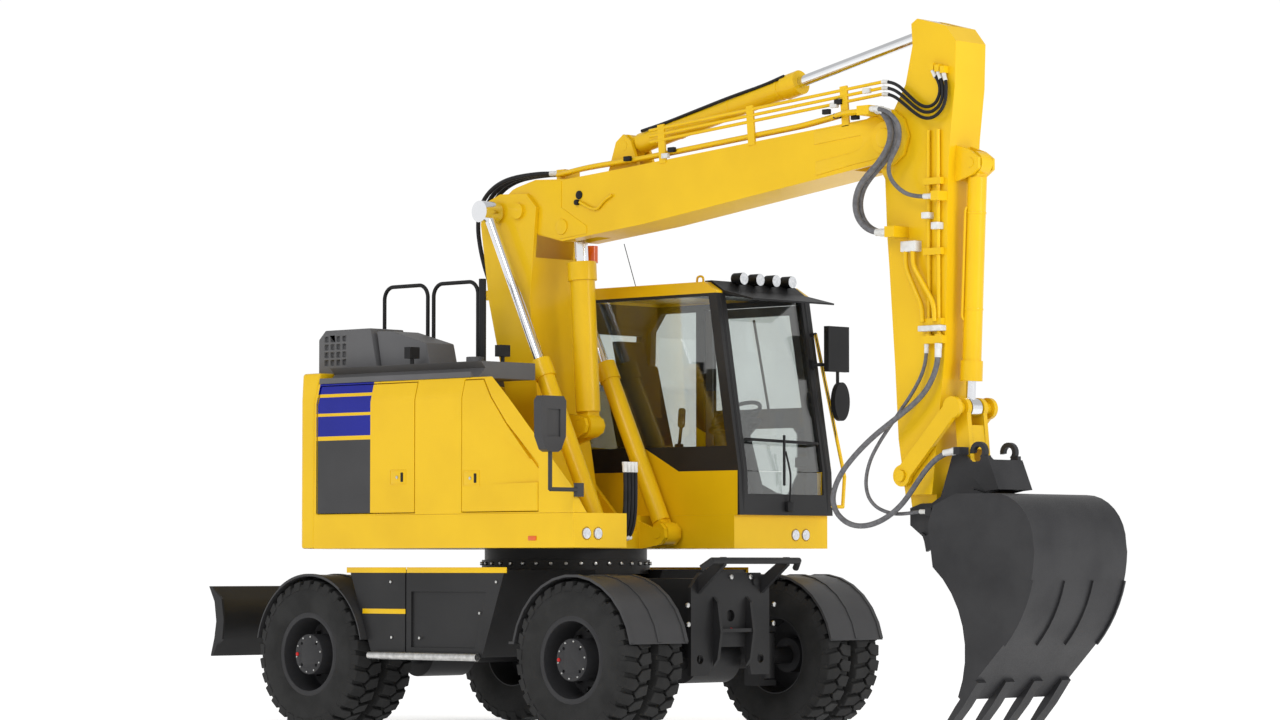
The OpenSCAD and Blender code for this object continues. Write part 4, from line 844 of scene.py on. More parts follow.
@dataclass
class Hoses:
    """The hydraulic hoses that cross the elbow, the coupler, the knee and the foot of the boom."""

    elbow_wide: tuple[Point, ...] = (
        (3.1903, -0.330, 4.085), (3.245, -0.345, 4.070), (3.295, -0.355, 4.030), (3.330, -0.360, 3.980),
        (3.345, -0.362, 3.920), (3.335, -0.364, 3.855), (3.300, -0.365, 3.795), (3.250, -0.365, 3.740),
        (3.190, -0.365, 3.690), (3.130, -0.365, 3.640), (3.080, -0.363, 3.585), (3.050, -0.360, 3.520),
        (3.042, -0.355, 3.455), (3.060, -0.350, 3.390), (3.105, -0.345, 3.335), (3.170, -0.340, 3.300),
        (3.240, -0.335, 3.288), (3.2997, -0.330, 3.285),
    )
    elbow_long: tuple[Point, ...] = (
        (3.1903, -0.424, 4.085), (3.260, -0.424, 4.078), (3.330, -0.424, 4.055), (3.390, -0.424, 4.010),
        (3.425, -0.422, 3.955), (3.430, -0.420, 3.890), (3.410, -0.416, 3.830), (3.370, -0.412, 3.775),
        (3.335, -0.408, 3.725), (3.325, -0.402, 3.670), (3.345, -0.396, 3.615), (3.390, -0.388, 3.565),
        (3.450, -0.378, 3.525), (3.520, -0.366, 3.505), (3.580, -0.352, 3.500), (3.6397, -0.340, 3.500),
    )
    elbow_high: tuple[Point, ...] = (
        (3.1815, -0.296, 4.271), (3.235, -0.300, 4.265), (3.290, -0.306, 4.250), (3.345, -0.312, 4.222),
        (3.400, -0.316, 4.180), (3.450, -0.318, 4.140), (3.500, -0.320, 4.105), (3.550, -0.320, 4.082),
        (3.600, -0.320, 4.078), (3.645, -0.318, 4.098), (3.670, -0.314, 4.140), (3.675, -0.310, 4.190),
        (3.655, -0.306, 4.240), (3.625, -0.302, 4.280), (3.608, -0.300, 4.3097),
    )
    elbow_low: tuple[Point, ...] = (
        (3.1875, -0.296, 4.191), (3.245, -0.302, 4.182), (3.305, -0.312, 4.160), (3.365, -0.322, 4.125),
        (3.425, -0.330, 4.085), (3.485, -0.336, 4.045), (3.545, -0.338, 4.012), (3.605, -0.338, 4.000),
        (3.660, -0.336, 4.012), (3.705, -0.330, 4.050), (3.728, -0.322, 4.105), (3.728, -0.314, 4.160),
        (3.724, -0.308, 4.212), (3.711, -0.304, 4.252), (3.698, -0.300, 4.2847),
    )
    tool_thin: tuple[Point, ...] = (
        (3.550, -0.300, 2.5597), (3.548, -0.302, 2.500), (3.540, -0.308, 2.430), (3.520, -0.318, 2.360),
        (3.485, -0.330, 2.290), (3.440, -0.342, 2.220), (3.385, -0.352, 2.150), (3.325, -0.360, 2.075),
        (3.260, -0.364, 2.000), (3.195, -0.366, 1.920), (3.140, -0.366, 1.840), (3.105, -0.366, 1.755),
        (3.092, -0.364, 1.670), (3.110, -0.360, 1.590), (3.160, -0.352, 1.530), (3.230, -0.340, 1.495),
        (3.310, -0.325, 1.478), (3.390, -0.310, 1.480), (3.450, -0.300, 1.487), (3.500, -0.300, 1.490),
        (3.5497, -0.300, 1.490),
    )
    tool_wide: tuple[Point, ...] = (
        (3.652, -0.305, 2.5597), (3.650, -0.308, 2.490), (3.642, -0.316, 2.410), (3.615, -0.328, 2.330),
        (3.565, -0.342, 2.250), (3.495, -0.360, 2.180), (3.410, -0.382, 2.115), (3.315, -0.400, 2.050),
        (3.215, -0.410, 1.985), (3.115, -0.412, 1.915), (3.020, -0.410, 1.840), (2.935, -0.412, 1.755),
        (2.875, -0.412, 1.665), (2.850, -0.410, 1.575), (2.875, -0.406, 1.495), (2.940, -0.400, 1.435),
        (3.025, -0.393, 1.405), (3.120, -0.385, 1.405), (3.215, -0.377, 1.430), (3.305, -0.369, 1.475),
        (3.385, -0.361, 1.535), (3.450, -0.354, 1.605), (3.510, -0.347, 1.680), (3.575, -0.340, 1.755),
        (3.650, -0.332, 1.820), (3.735, -0.324, 1.860), (3.7997, -0.318, 1.872),
    )
    knee: tuple[Point, ...] = (
        (0.0997, -0.120, 3.890), (0.020, -0.120, 3.895), (-0.070, -0.120, 3.900), (-0.160, -0.120, 3.900),
        (-0.250, -0.120, 3.897), (-0.340, -0.120, 3.890), (-0.430, -0.120, 3.875), (-0.515, -0.120, 3.848),
        (-0.590, -0.120, 3.808), (-0.650, -0.120, 3.755), (-0.690, -0.120, 3.690), (-0.710, -0.120, 3.615),
        (-0.712, -0.120, 3.535), (-0.700, -0.120, 3.455), (-0.680, -0.120, 3.375), (-0.655, -0.120, 3.300),
        (-0.625, -0.120, 3.225), (-0.590, -0.120, 3.155), (-0.565, -0.120, 3.1003),
    )
    foot: tuple[Point, ...] = (
        (1.290, -0.638, 1.8397), (1.292, -0.638, 1.790), (1.294, -0.638, 1.740), (1.295, -0.638, 1.690),
        (1.295, -0.638, 1.640), (1.294, -0.638, 1.590), (1.292, -0.638, 1.540), (1.288, -0.638, 1.495),
        (1.282, -0.638, 1.455), (1.274, -0.638, 1.420), (1.263, -0.638, 1.390), (1.250, -0.638, 1.365),
        (1.232, -0.638, 1.345), (1.210, -0.638, 1.330), (1.1803, -0.638, 1.322),
    )
    pair_gap: float = 0.046
    knee_gap: float = 0.055
    foot_gap: float = 0.033

    def build(self) -> None:
        """Makes every hose."""
        elbow = ("boom_upper", "arm")
        middle = tuple(tuple((Vector(a) + Vector(b)) / 2) for a, b in zip(self.elbow_high, self.elbow_low))
        for k in range(2):
            Hose(f"elbow_hose_{k}", "elbow_hoses", SLEEVE, 0.020, *elbow, self.elbow_wide,
                 (0.0, -self.pair_gap * k, 0.0)).build()
        Hose("elbow_hose_long", "elbow_hoses", SLEEVE, 0.014, *elbow, self.elbow_long).build()
        for name, route in (("high", self.elbow_high), ("middle", middle), ("low", self.elbow_low)):
            Hose(f"elbow_hose_{name}", "elbow_hoses", HOSE, 0.011, *elbow, route).build()
        Hose("tool_hose_thin", "coupler_hoses", SLEEVE, 0.012, "arm", "tool", self.tool_thin).build()
        Hose("tool_hose_wide", "coupler_hoses", SLEEVE, 0.018, "arm", "tool", self.tool_wide).build()
        for k in range(3):
            Hose(f"knee_hose_{k}", "knee_hoses", HOSE, 0.016, "boom_upper", "boom_lower", self.knee,
                 (0.0, self.knee_gap * (k - 1), 0.0)).build()
        for k in range(4):
            Hose(f"foot_hose_{k}", "foot_hoses", HOSE, 0.014, "house", "house", self.foot,
                 (0.0, -self.foot_gap * k, 0.0)).build()


@dataclass(frozen=True)
class Fasteners:
    """A circle of fasteners on the face of a rim.

    Attributes:
        name: Last part of the piece's name.
        look: How they look.
        count: How many.
        circle: Radius of the circle.
        start: Angle of the first, in degrees.
        foot: Depth of their feet under the face.
        top: Depth of their tops under the face.
        size: Radius of one.
        sides: Faces around one.
    """

    name: str
    look: Finish
    count: int
    circle: float
    start: float
    foot: float
    top: float
    size: float
    sides: int = 6


@dataclass
class Wheels:
    """Four twin wheels with block-tread tyres, and the fasteners of their rims."""

    radius: float = 0.527
    width: float = 0.262
    gap: float = 0.034
    half_track: float = 1.270
    blocks: int = 30
    depth: float = 0.030
    spin_steps: int = 72
    carcass: tuple[Flat, ...] = (
        (-0.098, 0.262), (-0.118, 0.300), (-0.128, 0.345), (-0.131, 0.385), (-0.129, 0.425), (-0.124, 0.465),
        (-0.112, 0.491), (-0.060, 0.496), (0.0, 0.497), (0.060, 0.496), (0.112, 0.491), (0.124, 0.465),
        (0.129, 0.425), (0.131, 0.385), (0.128, 0.345), (0.118, 0.300), (0.098, 0.262),
    )
    lug: tuple[Flat, ...] = ((-0.012, 0.00), (0.022, 0.36), (0.108, 0.30), (0.116, -0.38), (0.022, -0.36))
    lug_flare: float = 1.1
    lug_sweep: float = 2.0
    lug_root: float = 0.006
    crown: float = 0.05
    shoulder: float = 0.1
    shoulder_drop: float = 0.010
    shoulder_foot: Flat = (0.1305, 0.452)
    rim_parts: tuple[Fasteners, ...] = (
        Fasteners("nuts", DARK, 12, 0.205, 15.0, 0.235, 0.196, 0.017),
        Fasteners("plug", RED, 1, 0.118, 180.0, 0.020, -0.003, 0.013, 16),
        Fasteners("cover_bolts", STEEL, 10, 0.124, 9.0, 0.020, -0.002, 0.007),
    )

    def build(self) -> None:
        """Makes one tyre, copies it to each wheel and dresses the rims."""
        pattern = self._tyre()
        middle = self.half_track - self.width / 2
        for end in ("front", "rear"):
            for side in Side:
                node = f"tyres_{end}_{side.name.lower()}"
                low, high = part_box(node)
                hub = Vector(((low.x + high.x) / 2, 0.0, self.radius))
                twins = []
                for inward in (0.0, self.width + self.gap):
                    place = hub + Vector((0.0, side.value * (middle - inward), 0.0))
                    turn = Matrix.Rotation(0.0 if side is Side.LEFT else math.pi, 4, "Z")
                    twins.append(Bench.copy(pattern, Matrix.Translation(place) @ turn))
                Bench.group(node + "_tread", twins, RUBBER, BODY_OF[node], node)
                self._rim(end, side, hub)
        bpy.data.objects.remove(pattern)

    def _tyre(self) -> Piece:
        """Spins the carcass and sets the blocks on it.

        Returns:
            One tyre about the Y axis at the origin.
        """
        tyre = Bench.ring(len(self.carcass), filled=False)
        for corner, (across, out) in zip(tyre.data.vertices, self.carcass):
            corner.co = (0.0, across, out)
        with Bench.editing(tyre):
            bpy.ops.mesh.spin(steps=self.spin_steps, angle=2 * math.pi, center=(0, 0, 0), axis=(0, 1, 0))
            bpy.ops.mesh.select_all(action="SELECT")
            bpy.ops.mesh.remove_doubles(threshold=2 * WELD)
            bpy.ops.mesh.normals_make_consistent(inside=False)
        Bench.ease(tyre, 0.0)
        rows = [tyre, self._lugs(1.0, 0.0), self._lugs(-1.0, 0.5)]
        return Bench.join("tyre_pattern", rows)

    def _lugs(self, hand: float, shift: float) -> Piece:
        """Makes one side's row of tread blocks.

        Args:
            hand: Side of the tyre, as the sign of Y.
            shift: Turn of the row, in pitches.

        Returns:
            The row of blocks.
        """
        pitch = 2 * math.pi / self.blocks
        count = len(self.lug)
        block = Bench.ring(count)
        with Bench.editing(block):
            bpy.ops.mesh.extrude_region_move(TRANSFORM_OT_translate={"value": (0.0, 0.0, 1.0)})
        for k, corner in enumerate(block.data.vertices):
            across, along = self.lug[k % count]
            top = k >= count
            out = self.radius - (self.crown * across ** 2 if top else self.depth + self.lug_root)
            if across > self.shoulder:
                across, out = (across, self.radius - self.shoulder_drop) if top else self.shoulder_foot
            spread = 1.0 if top else self.lug_flare
            turn = (along * spread + shift + self.lug_sweep * max(across, 0.0)) * pitch
            corner.co = (out * math.sin(turn), hand * across, out * math.cos(turn))
        with Bench.editing(block):
            bpy.ops.mesh.normals_make_consistent(inside=False)
        Bench.ease(block, 0.004, 1, 30.0)
        moves = [Matrix.Rotation(k * pitch, 4, "Y") for k in range(self.blocks)]
        return Bench.row("tread_row", block, moves)

    def _rim(self, end: str, side: Side, hub: Vector) -> None:
        """Dresses a rim and sets its fasteners.

        Args:
            end: Front or rear.
            side: Side of the machine.
            hub: Middle of the wheel on the centre plane.
        """
        node = f"rim_{end}_{side.name.lower()}"
        Bench.skin(node, RIM, 0.004)
        low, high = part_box(node)
        face = high.y if side is Side.LEFT else low.y
        for part in self.rim_parts:
            pieces = []
            for k in range(part.count):
                angle = math.radians(part.start + 360.0 * k / part.count)
                x, z = hub.x + part.circle * math.cos(angle), hub.z + part.circle * math.sin(angle)
                ends = [(x, face - side.value * depth, z) for depth in (part.foot, part.top)]
                pieces.append(Bench.bar("fastener", *ends, part.size, part.sides))
            Bench.group(f"{node}_{part.name}", pieces, part.look, BODY_OF[node])


@dataclass
class Skins:
    """Eased copies of the solids, each in its finish."""

    plain: dict[str, tuple[Look, float]] = field(default_factory=lambda: {
        "chassis_frame": (DARK, 0.006), "front_guard": (DARK, 0.006), "front_axle": (DARK, 0.008),
        "rear_axle": (DARK, 0.008), "right_side_box": (DARK, 0.008), "left_side_box": (DARK, 0.008),
        "rear_fenders": (PANEL, 0.003), "knuckle_left": (DARK, 0.006), "knuckle_right": (DARK, 0.006),
        "front_fender_left": (PANEL, 0.003), "front_fender_right": (PANEL, 0.003),
        "dozer_blade": (DARK, 0.006),
        "swing_frame": (YELLOW, 0.012), "counterweight": (YELLOW, 0.030), "rear_housing": (YELLOW, 0.006),
        "right_housing": (YELLOW, 0.012), "engine": (IRON, 0.02), "top_cover": (TRIM, 0.010),
        "exhaust_box": (TRIM, 0.008), "handrails": (BLACK, 0.002), "right_mirror": (PANEL, 0.012),
        "right_rear_door": (YELLOW, 0.005), "right_front_door": (YELLOW, 0.005),
        "left_rear_door": (YELLOW, 0.005), "cab_frame": (YELLOW, 0.012), "cab_roof_kit": (BLACK, 0.008),
        "cab_glass": (GLASS, 0.001), "cab_door": (YELLOW, 0.006), "seat": (CABIN, 0.03),
        "console": (CABIN, 0.006), "left_mirror": (BLACK, 0.012), "boom_lower": (YELLOW, 0.008),
        "lift_barrels": (YELLOW, 0.004), "lift_rods": (CHROME, 0.003), "adjust_barrel": (YELLOW, 0.004),
        "adjust_rod": (CHROME, 0.003), "boom_upper": (YELLOW, 0.008), "arm_barrel": (YELLOW, 0.004),
        "arm_rod": (CHROME, 0.003), "arm": (YELLOW, 0.008), "bucket_barrel": (YELLOW, 0.004),
        "bucket_rod": (CHROME, 0.003), "idler_links": (YELLOW, 0.006), "bucket_link": (YELLOW, 0.006),
        "coupler": (TOOL, 0.005), "bucket": (TOOL, 0.006), "lamps": (LENS, 0.004),
    })
    made: dict[str, Piece] = field(default_factory=dict)
    step_bar: float = 1.205
    lamp_pods: float = 2.0
    beacon: float = 3.318
    roof_lamps: Point = (1.150, 1.163, 3.105)  # rear, front, lower end
    swing_ring: Flat = (1.262, 0.62)  # top, radius
    belt: float = 1.80
    roof_line: float = 3.03
    sill: float = 1.50
    front_post: float = 1.36
    front_lean: float = 0.18
    left_face: float = 1.262
    left_rear: Flat = (0.2, 1.24)  # front end, inner face
    rear_post: float = 0.42
    sweep_start: Flat = (0.458, 1.977)
    sweep_end: float = 0.793
    sweep_slope: float = 0.507
    sweep_normal: Point = (0.17, 0.0, 0.335)
    stripes: tuple[Flat, ...] = ((2.346, 2.427), (2.210, 2.323), (2.049, 2.189))
    panel: Flat = (1.510, 2.020)
    livery: Flat = (-1.212, -0.650)  # rear, front
    livery_side: float = -1.17

    def build(self) -> None:
        """Dresses every solid that has no finer piece of its own."""
        self.made = {node: Bench.skin(node, look, edge) for node, (look, edge) in self.plain.items()}
        self._cab()
        self._livery()
        back, ahead, above = self.roof_lamps
        ring_top, ring_out = self.swing_ring
        for node, look, inside in (
            ("left_side_box", STEEL, lambda p: abs(p.y) > self.step_bar),
            ("right_side_box", STEEL, lambda p: abs(p.y) > self.step_bar),
            ("lamps", BLACK, lambda p: p.z > self.lamp_pods),
            ("cab_roof_kit", AMBER, lambda p: p.z > self.beacon),
            ("cab_roof_kit", LENS, lambda p: back < p.x < ahead and p.z > above),
            ("swing_frame", DARK, lambda p: p.z < ring_top and math.hypot(p.x, p.y) < ring_out),
        ):
            Bench.zone(self.made[node], look, inside)

    def even(self) -> None:
        """Evens the light on every dressed solid, once its zones and cuts are made."""
        for piece in self.made.values():
            Bench.even(piece)

    def _cab(self) -> None:
        """Parts the cab's yellow panels from its dark frame."""
        up, ahead = (0, 0, 1), (1, 0, 0)
        start, top = self.sweep_start
        at_belt = ((0, 0, self.belt), up)
        cuts = [at_belt, ((0, 0, self.roof_line), up), ((self.front_post, 0, 0), ahead),
                ((start, 0, top), self.sweep_normal), ((self.rear_post, 0, 0), ahead)]

        def dark(p: Vector) -> bool:
            """Tells whether a face belongs to the dark frame."""
            if p.z > self.roof_line or (p.x < self.left_rear[0] and p.y > self.left_rear[1]):
                return False
            if p.x > self.front_post - max(0.0, p.z - self.belt) * self.front_lean:
                return p.z > self.sill and p.y < self.left_face
            band = top - self.sweep_slope * (p.x - start) if p.x < self.sweep_end else self.belt
            return p.z > max(self.belt, min(top, band))

        Bench.zone(self.made["cab_frame"], DARK, dark, cuts)
        Bench.zone(self.made["cab_door"], DARK, lambda p: p.z > self.belt, [at_belt])

    def _livery(self) -> None:
        """Paints the three stripes and the bare dark panel on the right side."""
        back, front = self.livery
        levels = [z for band in (*self.stripes, self.panel) for z in band]
        cuts = [((0, 0, z), (0, 0, 1)) for z in levels] + [((x, 0, 0), (1, 0, 0)) for x in self.livery]

        def within(p: Vector, bands: Iterable[Flat]) -> bool:
            """Tells whether a face of the right side lies in one of the bands."""
            beside = p.y < self.livery_side and back < p.x < front
            return beside and any(low < p.z < high for low, high in bands)

        for node in ("right_rear_door", "right_housing", "rear_housing"):
            Bench.zone(self.made[node], BLUE, lambda p: within(p, self.stripes), cuts)
            Bench.zone(self.made[node], PANEL, lambda p: within(p, (self.panel,)))


@dataclass
class SidePanels:
    """Latches, markers and the recess of the house's side panels."""

    face: float = 1.265
    recess: tuple[Flat, ...] = ((0.527, 2.074), (1.012, 1.808), (1.030, 1.700), (0.518, 1.694))
    recess_depth: float = 0.020
    recess_shallow: float = 0.6
    latches: tuple[tuple[str, float, float], ...] = (
        ("right_rear_door", -0.450, 1.700), ("right_front_door", 0.276, 1.683),
    )
    latch_size: Flat = (0.165, 0.106)
    latch_rim: float = 0.006
    key_at: float = 0.45
    pull_from: float = 0.68
    pull_to: float = 0.82
    pull_half: float = 0.032
    markers: tuple[Flat, ...] = ((-1.189, 1.332), (0.948, 1.329))
    marker_half: Point = (0.038, 0.006, 0.015)
    tail_from: float = -1.15
    tail_step: float = 0.075

    def build(self, skins: Skins) -> None:
        """Makes the latches and markers and carves the recess.

        Args:
            skins: Dressed copies of the solids.
        """
        for door, x, z in self.latches:
            self._latch(door, x, z)
        half = Vector(self.marker_half)
        for k, (x, z) in enumerate(self.markers):
            out = self.face - (self.tail_step if x < self.tail_from else 0.0)
            for side in Side:
                middle = Vector((x, side.value * out, z))
                name = f"marker_{k}_{side.name.lower()}"
                Bench.dress(Bench.block(name, middle - half, middle + half, 0.003), AMBER, "house")
        self._carve_recess(skins.made["right_front_door"])

    def _latch(self, door: str, x: float, z: float) -> None:
        """Sets a flush latch plate with its key barrel and pull on a right-hand door.

        Args:
            door: Door that carries it.
            x: Rear edge of the plate.
            z: Lower edge of the plate.
        """
        width, height = self.latch_size
        y = -self.face

        def inset(name: str, step: float, out: float, depth: float, edge: float) -> Piece:
            """Makes a block inside the plate's outline."""
            return Bench.block(name, (x + step, y - out, z + step),
                               (x + width - step, y + depth, z + height - step), edge)

        rim = inset("rim", 0.0, 0.0025, 0.004, 0.002)
        hole = inset("hole", self.latch_rim, 0.010, 0.010, 0.004)
        plate = inset("plate", self.latch_rim + 0.002, 0.001, 0.004, 0.002)
        Bench.group(f"{door}_latch_plate", [Bench.carve(rim, hole), plate], YELLOW, door)
        middle, key_x = z + 0.5 * height, x + self.key_at * width
        key = Bench.bar(f"{door}_key", (key_x, y, middle), (key_x, y - 0.006, middle), 0.011)
        Bench.dress(key, STEEL, door)
        pull = Bench.block(f"{door}_pull", (x + self.pull_from * width, y - 0.006, middle - self.pull_half),
                           (x + self.pull_to * width, y + 0.002, middle + self.pull_half), 0.003)
        Bench.dress(pull, BLACK, door)

    def _carve_recess(self, door: Piece) -> None:
        """Presses the sloping recess into the front door's face.

        Args:
            door: Dressed copy of the door.
        """
        wedge = Bench.plate("wedge", self.recess, -self.face - 0.05, -self.face + self.recess_depth, edge=0.0)
        for corner in wedge.data.vertices:
            if corner.co.x < self.recess_shallow and corner.co.y > -self.face:
                corner.co.y = -self.face - 0.0004
        Bench.carve(door, wedge)


@dataclass
class Cab:
    """Fittings in and on the cab: door window, controls, wiper, frame bars, aerial and lifting eyes."""

    front_foot: float = 1.352
    front_lean: float = 0.174
    belt: float = 1.80
    sill: float = 1.50
    posts: Flat = (0.345, 1.215)
    door_pane: tuple[Flat, ...] = (
        (0.658, 2.122), (1.030, 2.121), (1.067, 2.078), (1.067, 1.789), (0.973, 1.642), (0.859, 1.665),
        (0.658, 1.752), (0.639, 1.959), (0.600, 2.074),
    )
    door_sheet: tuple[Flat, ...] = (
        (0.272, 1.905), (0.500, 1.905), (0.500, 1.610), (1.188, 1.610), (1.188, 1.905), (1.128, 2.262),
        (0.272, 2.262),
    )
    sheet_faces: Flat = (1.2475, 1.2600)
    pane_faces: Flat = (1.2400, 1.2440)
    hole_faces: Flat = (1.10, 1.40)
    hole_box: Quad = (0.59, 1.08, 1.63, 2.13)  # rear, front, bottom, top
    door_inside: float = 1.2375
    door_outside: float = 1.262
    upper_glass: Flat = (1.242, 0.004)  # middle, half of its thickness
    slide: tuple[Point, Point] = ((0.645, 1.254, 2.900), (0.785, 1.254, 2.262))
    wheel_at: Point = (0.985, 0.700, 2.200)
    wheel_radius: float = 0.175
    wheel_tip: float = -28.0
    column: tuple[Point, Point] = ((0.02, 0.0, 0.01), (0.22, 0.0, -0.62))
    levers: tuple[Point, ...] = ((0.640, 0.480, 2.060), (0.640, 0.980, 2.060))
    aerial: tuple[Point, Point] = ((-0.074, 0.800, 3.110), (-0.207, 0.800, 3.468))
    aerial_base: Point = (-0.012, 0.0, 0.032)
    eyes: tuple[Point, ...] = ((0.900, 0.420, 3.110), (0.900, 1.140, 3.110), (-0.300, 0.420, 3.110))

    def front(self, y: float, z: float, out: float) -> Point:
        """Gives the point at a place and height on the sloping front face, or a step out from it."""
        return (self.front_foot - self.front_lean * max(0.0, z - self.belt) + out, y, z)

    def build(self, skins: Skins) -> None:
        """Makes the fittings.

        Args:
            skins: Dressed copies of the solids.
        """
        self._door(skins.made["cab_door"])
        self._front()
        self._controls()
        self._roof()

    def _door(self, door: Piece) -> None:
        """Opens the door's lower window, glazes it and sets the panel above it.

        Args:
            door: Dressed copy of the door.
        """
        body = BODY_OF["cab_door"]
        x0, x1, z0, z1 = self.hole_box
        glass, half = self.upper_glass
        sheet = Bench.plate("door_sheet", self.door_sheet, *self.sheet_faces, edge=0.0)
        for piece in (door, sheet):
            Bench.carve(piece, Bench.plate("hole", self.door_pane, *self.hole_faces, edge=0.0))

        def lining(p: Vector) -> bool:
            """Tells whether a face is on the door's inside or in the lower window's edge."""
            return p.y < self.door_inside or (x0 < p.x < x1 and z0 < p.z < z1 and p.y < self.door_outside)

        Bench.zone(door, TRIM, lining)
        Bench.zone(door, GLASS, lambda p: abs(abs(p.y - glass) - half) < 0.2 * half)
        Bench.dress(sheet, TRIM, body)
        Bench.dress(Bench.plate("door_lower_glass", self.door_pane, *self.pane_faces, edge=0.0), GLASS, body)
        Bench.dress(Bench.bar("door_slide", *self.slide, 0.010, 8), BLACK, body)

    def _front(self) -> None:
        """Makes the grab bar, the corner posts and the wiper."""
        grab = [self.front(0.40, 2.015, 0.012), self.front(0.44, 2.015, 0.045),
                self.front(1.12, 2.000, 0.045), self.front(1.16, 2.000, 0.012)]
        bars = [Bench.tube("grab_bar", grab, 0.011, 0.03)]
        for y in self.posts:
            knots = [self.front(y, z, 0.010) for z in (self.sill, self.belt, 3.00)]
            bars.append(Bench.tube("post", knots, 0.018, 0.0))
        Bench.group("front_frame_bars", bars, BLACK, "house")
        sweep = [self.front(0.800, 1.560, 0.040), self.front(0.790, 1.780, 0.060),
                 self.front(0.775, 1.940, 0.050)]
        arm = Bench.tube("wiper_arm", sweep, 0.007, 0.05)
        blade = Bench.block("wiper_blade", (1.385, 0.735, 1.700), (1.400, 0.752, 2.050), 0.004)
        motor = Bench.block("wiper_motor", (1.355, 0.765, 1.520), (1.410, 0.835, 1.590), 0.010)
        Bench.group("wiper", [arm, blade, motor], BLACK, "house")

    def _controls(self) -> None:
        """Makes the steering wheel on its column and the two levers."""
        Bench.clear()
        tip = math.radians(self.wheel_tip)
        bpy.ops.mesh.primitive_torus_add(
            location=self.wheel_at, rotation=(0.0, tip, 0.0), major_radius=self.wheel_radius,
            minor_radius=0.014, major_segments=40, minor_segments=10,
        )
        parts = [Bench.settle(bpy.context.object)]
        centre = Vector(self.wheel_at)
        for degrees in (60.0, 180.0, 300.0):
            turn = Matrix.Rotation(tip, 3, "Y") @ Matrix.Rotation(math.radians(degrees), 3, "Z")
            rim = centre + turn @ Vector((self.wheel_radius, 0, 0))
            parts.append(Bench.bar("spoke", centre, rim, 0.010, 10))
        top, foot = (centre + Vector(end) for end in self.column)
        parts.append(Bench.bar("column", top, foot, 0.045, 16))
        Bench.group("steering", parts, CABIN, "house")
        for k, (x, y, z) in enumerate(self.levers):
            boot = Bench.bar("boot", (x, y, z - 0.16), (x, y, z - 0.06), 0.032, 16, 0.012)
            stick = Bench.bar("stick", (x, y, z - 0.08), (x + 0.02, y, z + 0.06), 0.012, 12)
            grip = Bench.bar("grip", (x + 0.02, y, z + 0.05), (x + 0.03, y, z + 0.19), 0.026, 16, 0.018)
            Bench.group(f"lever_{k}", [boot, stick, grip], CABIN, "house")

    def _roof(self) -> None:
        """Makes the aerial and the lifting eyes."""
        foot, tip = self.aerial
        mast = Bench.bar("mast", foot, tip, 0.003, 8, 0.0)
        base = Bench.bar("base", foot, Vector(foot) + Vector(self.aerial_base), 0.014, 14)
        Bench.group("aerial", [mast, base], BLACK, "house")
        loop = ((-0.03, -0.01), (-0.03, 0.05), (0.03, 0.05), (0.03, -0.01))
        loops = [Bench.tube("eye", [(x + dx, y, z + dz) for dx, dz in loop], 0.008, 0.03)
                 for x, y, z in self.eyes]
        Bench.group("lifting_eyes", loops, YELLOW, "house")


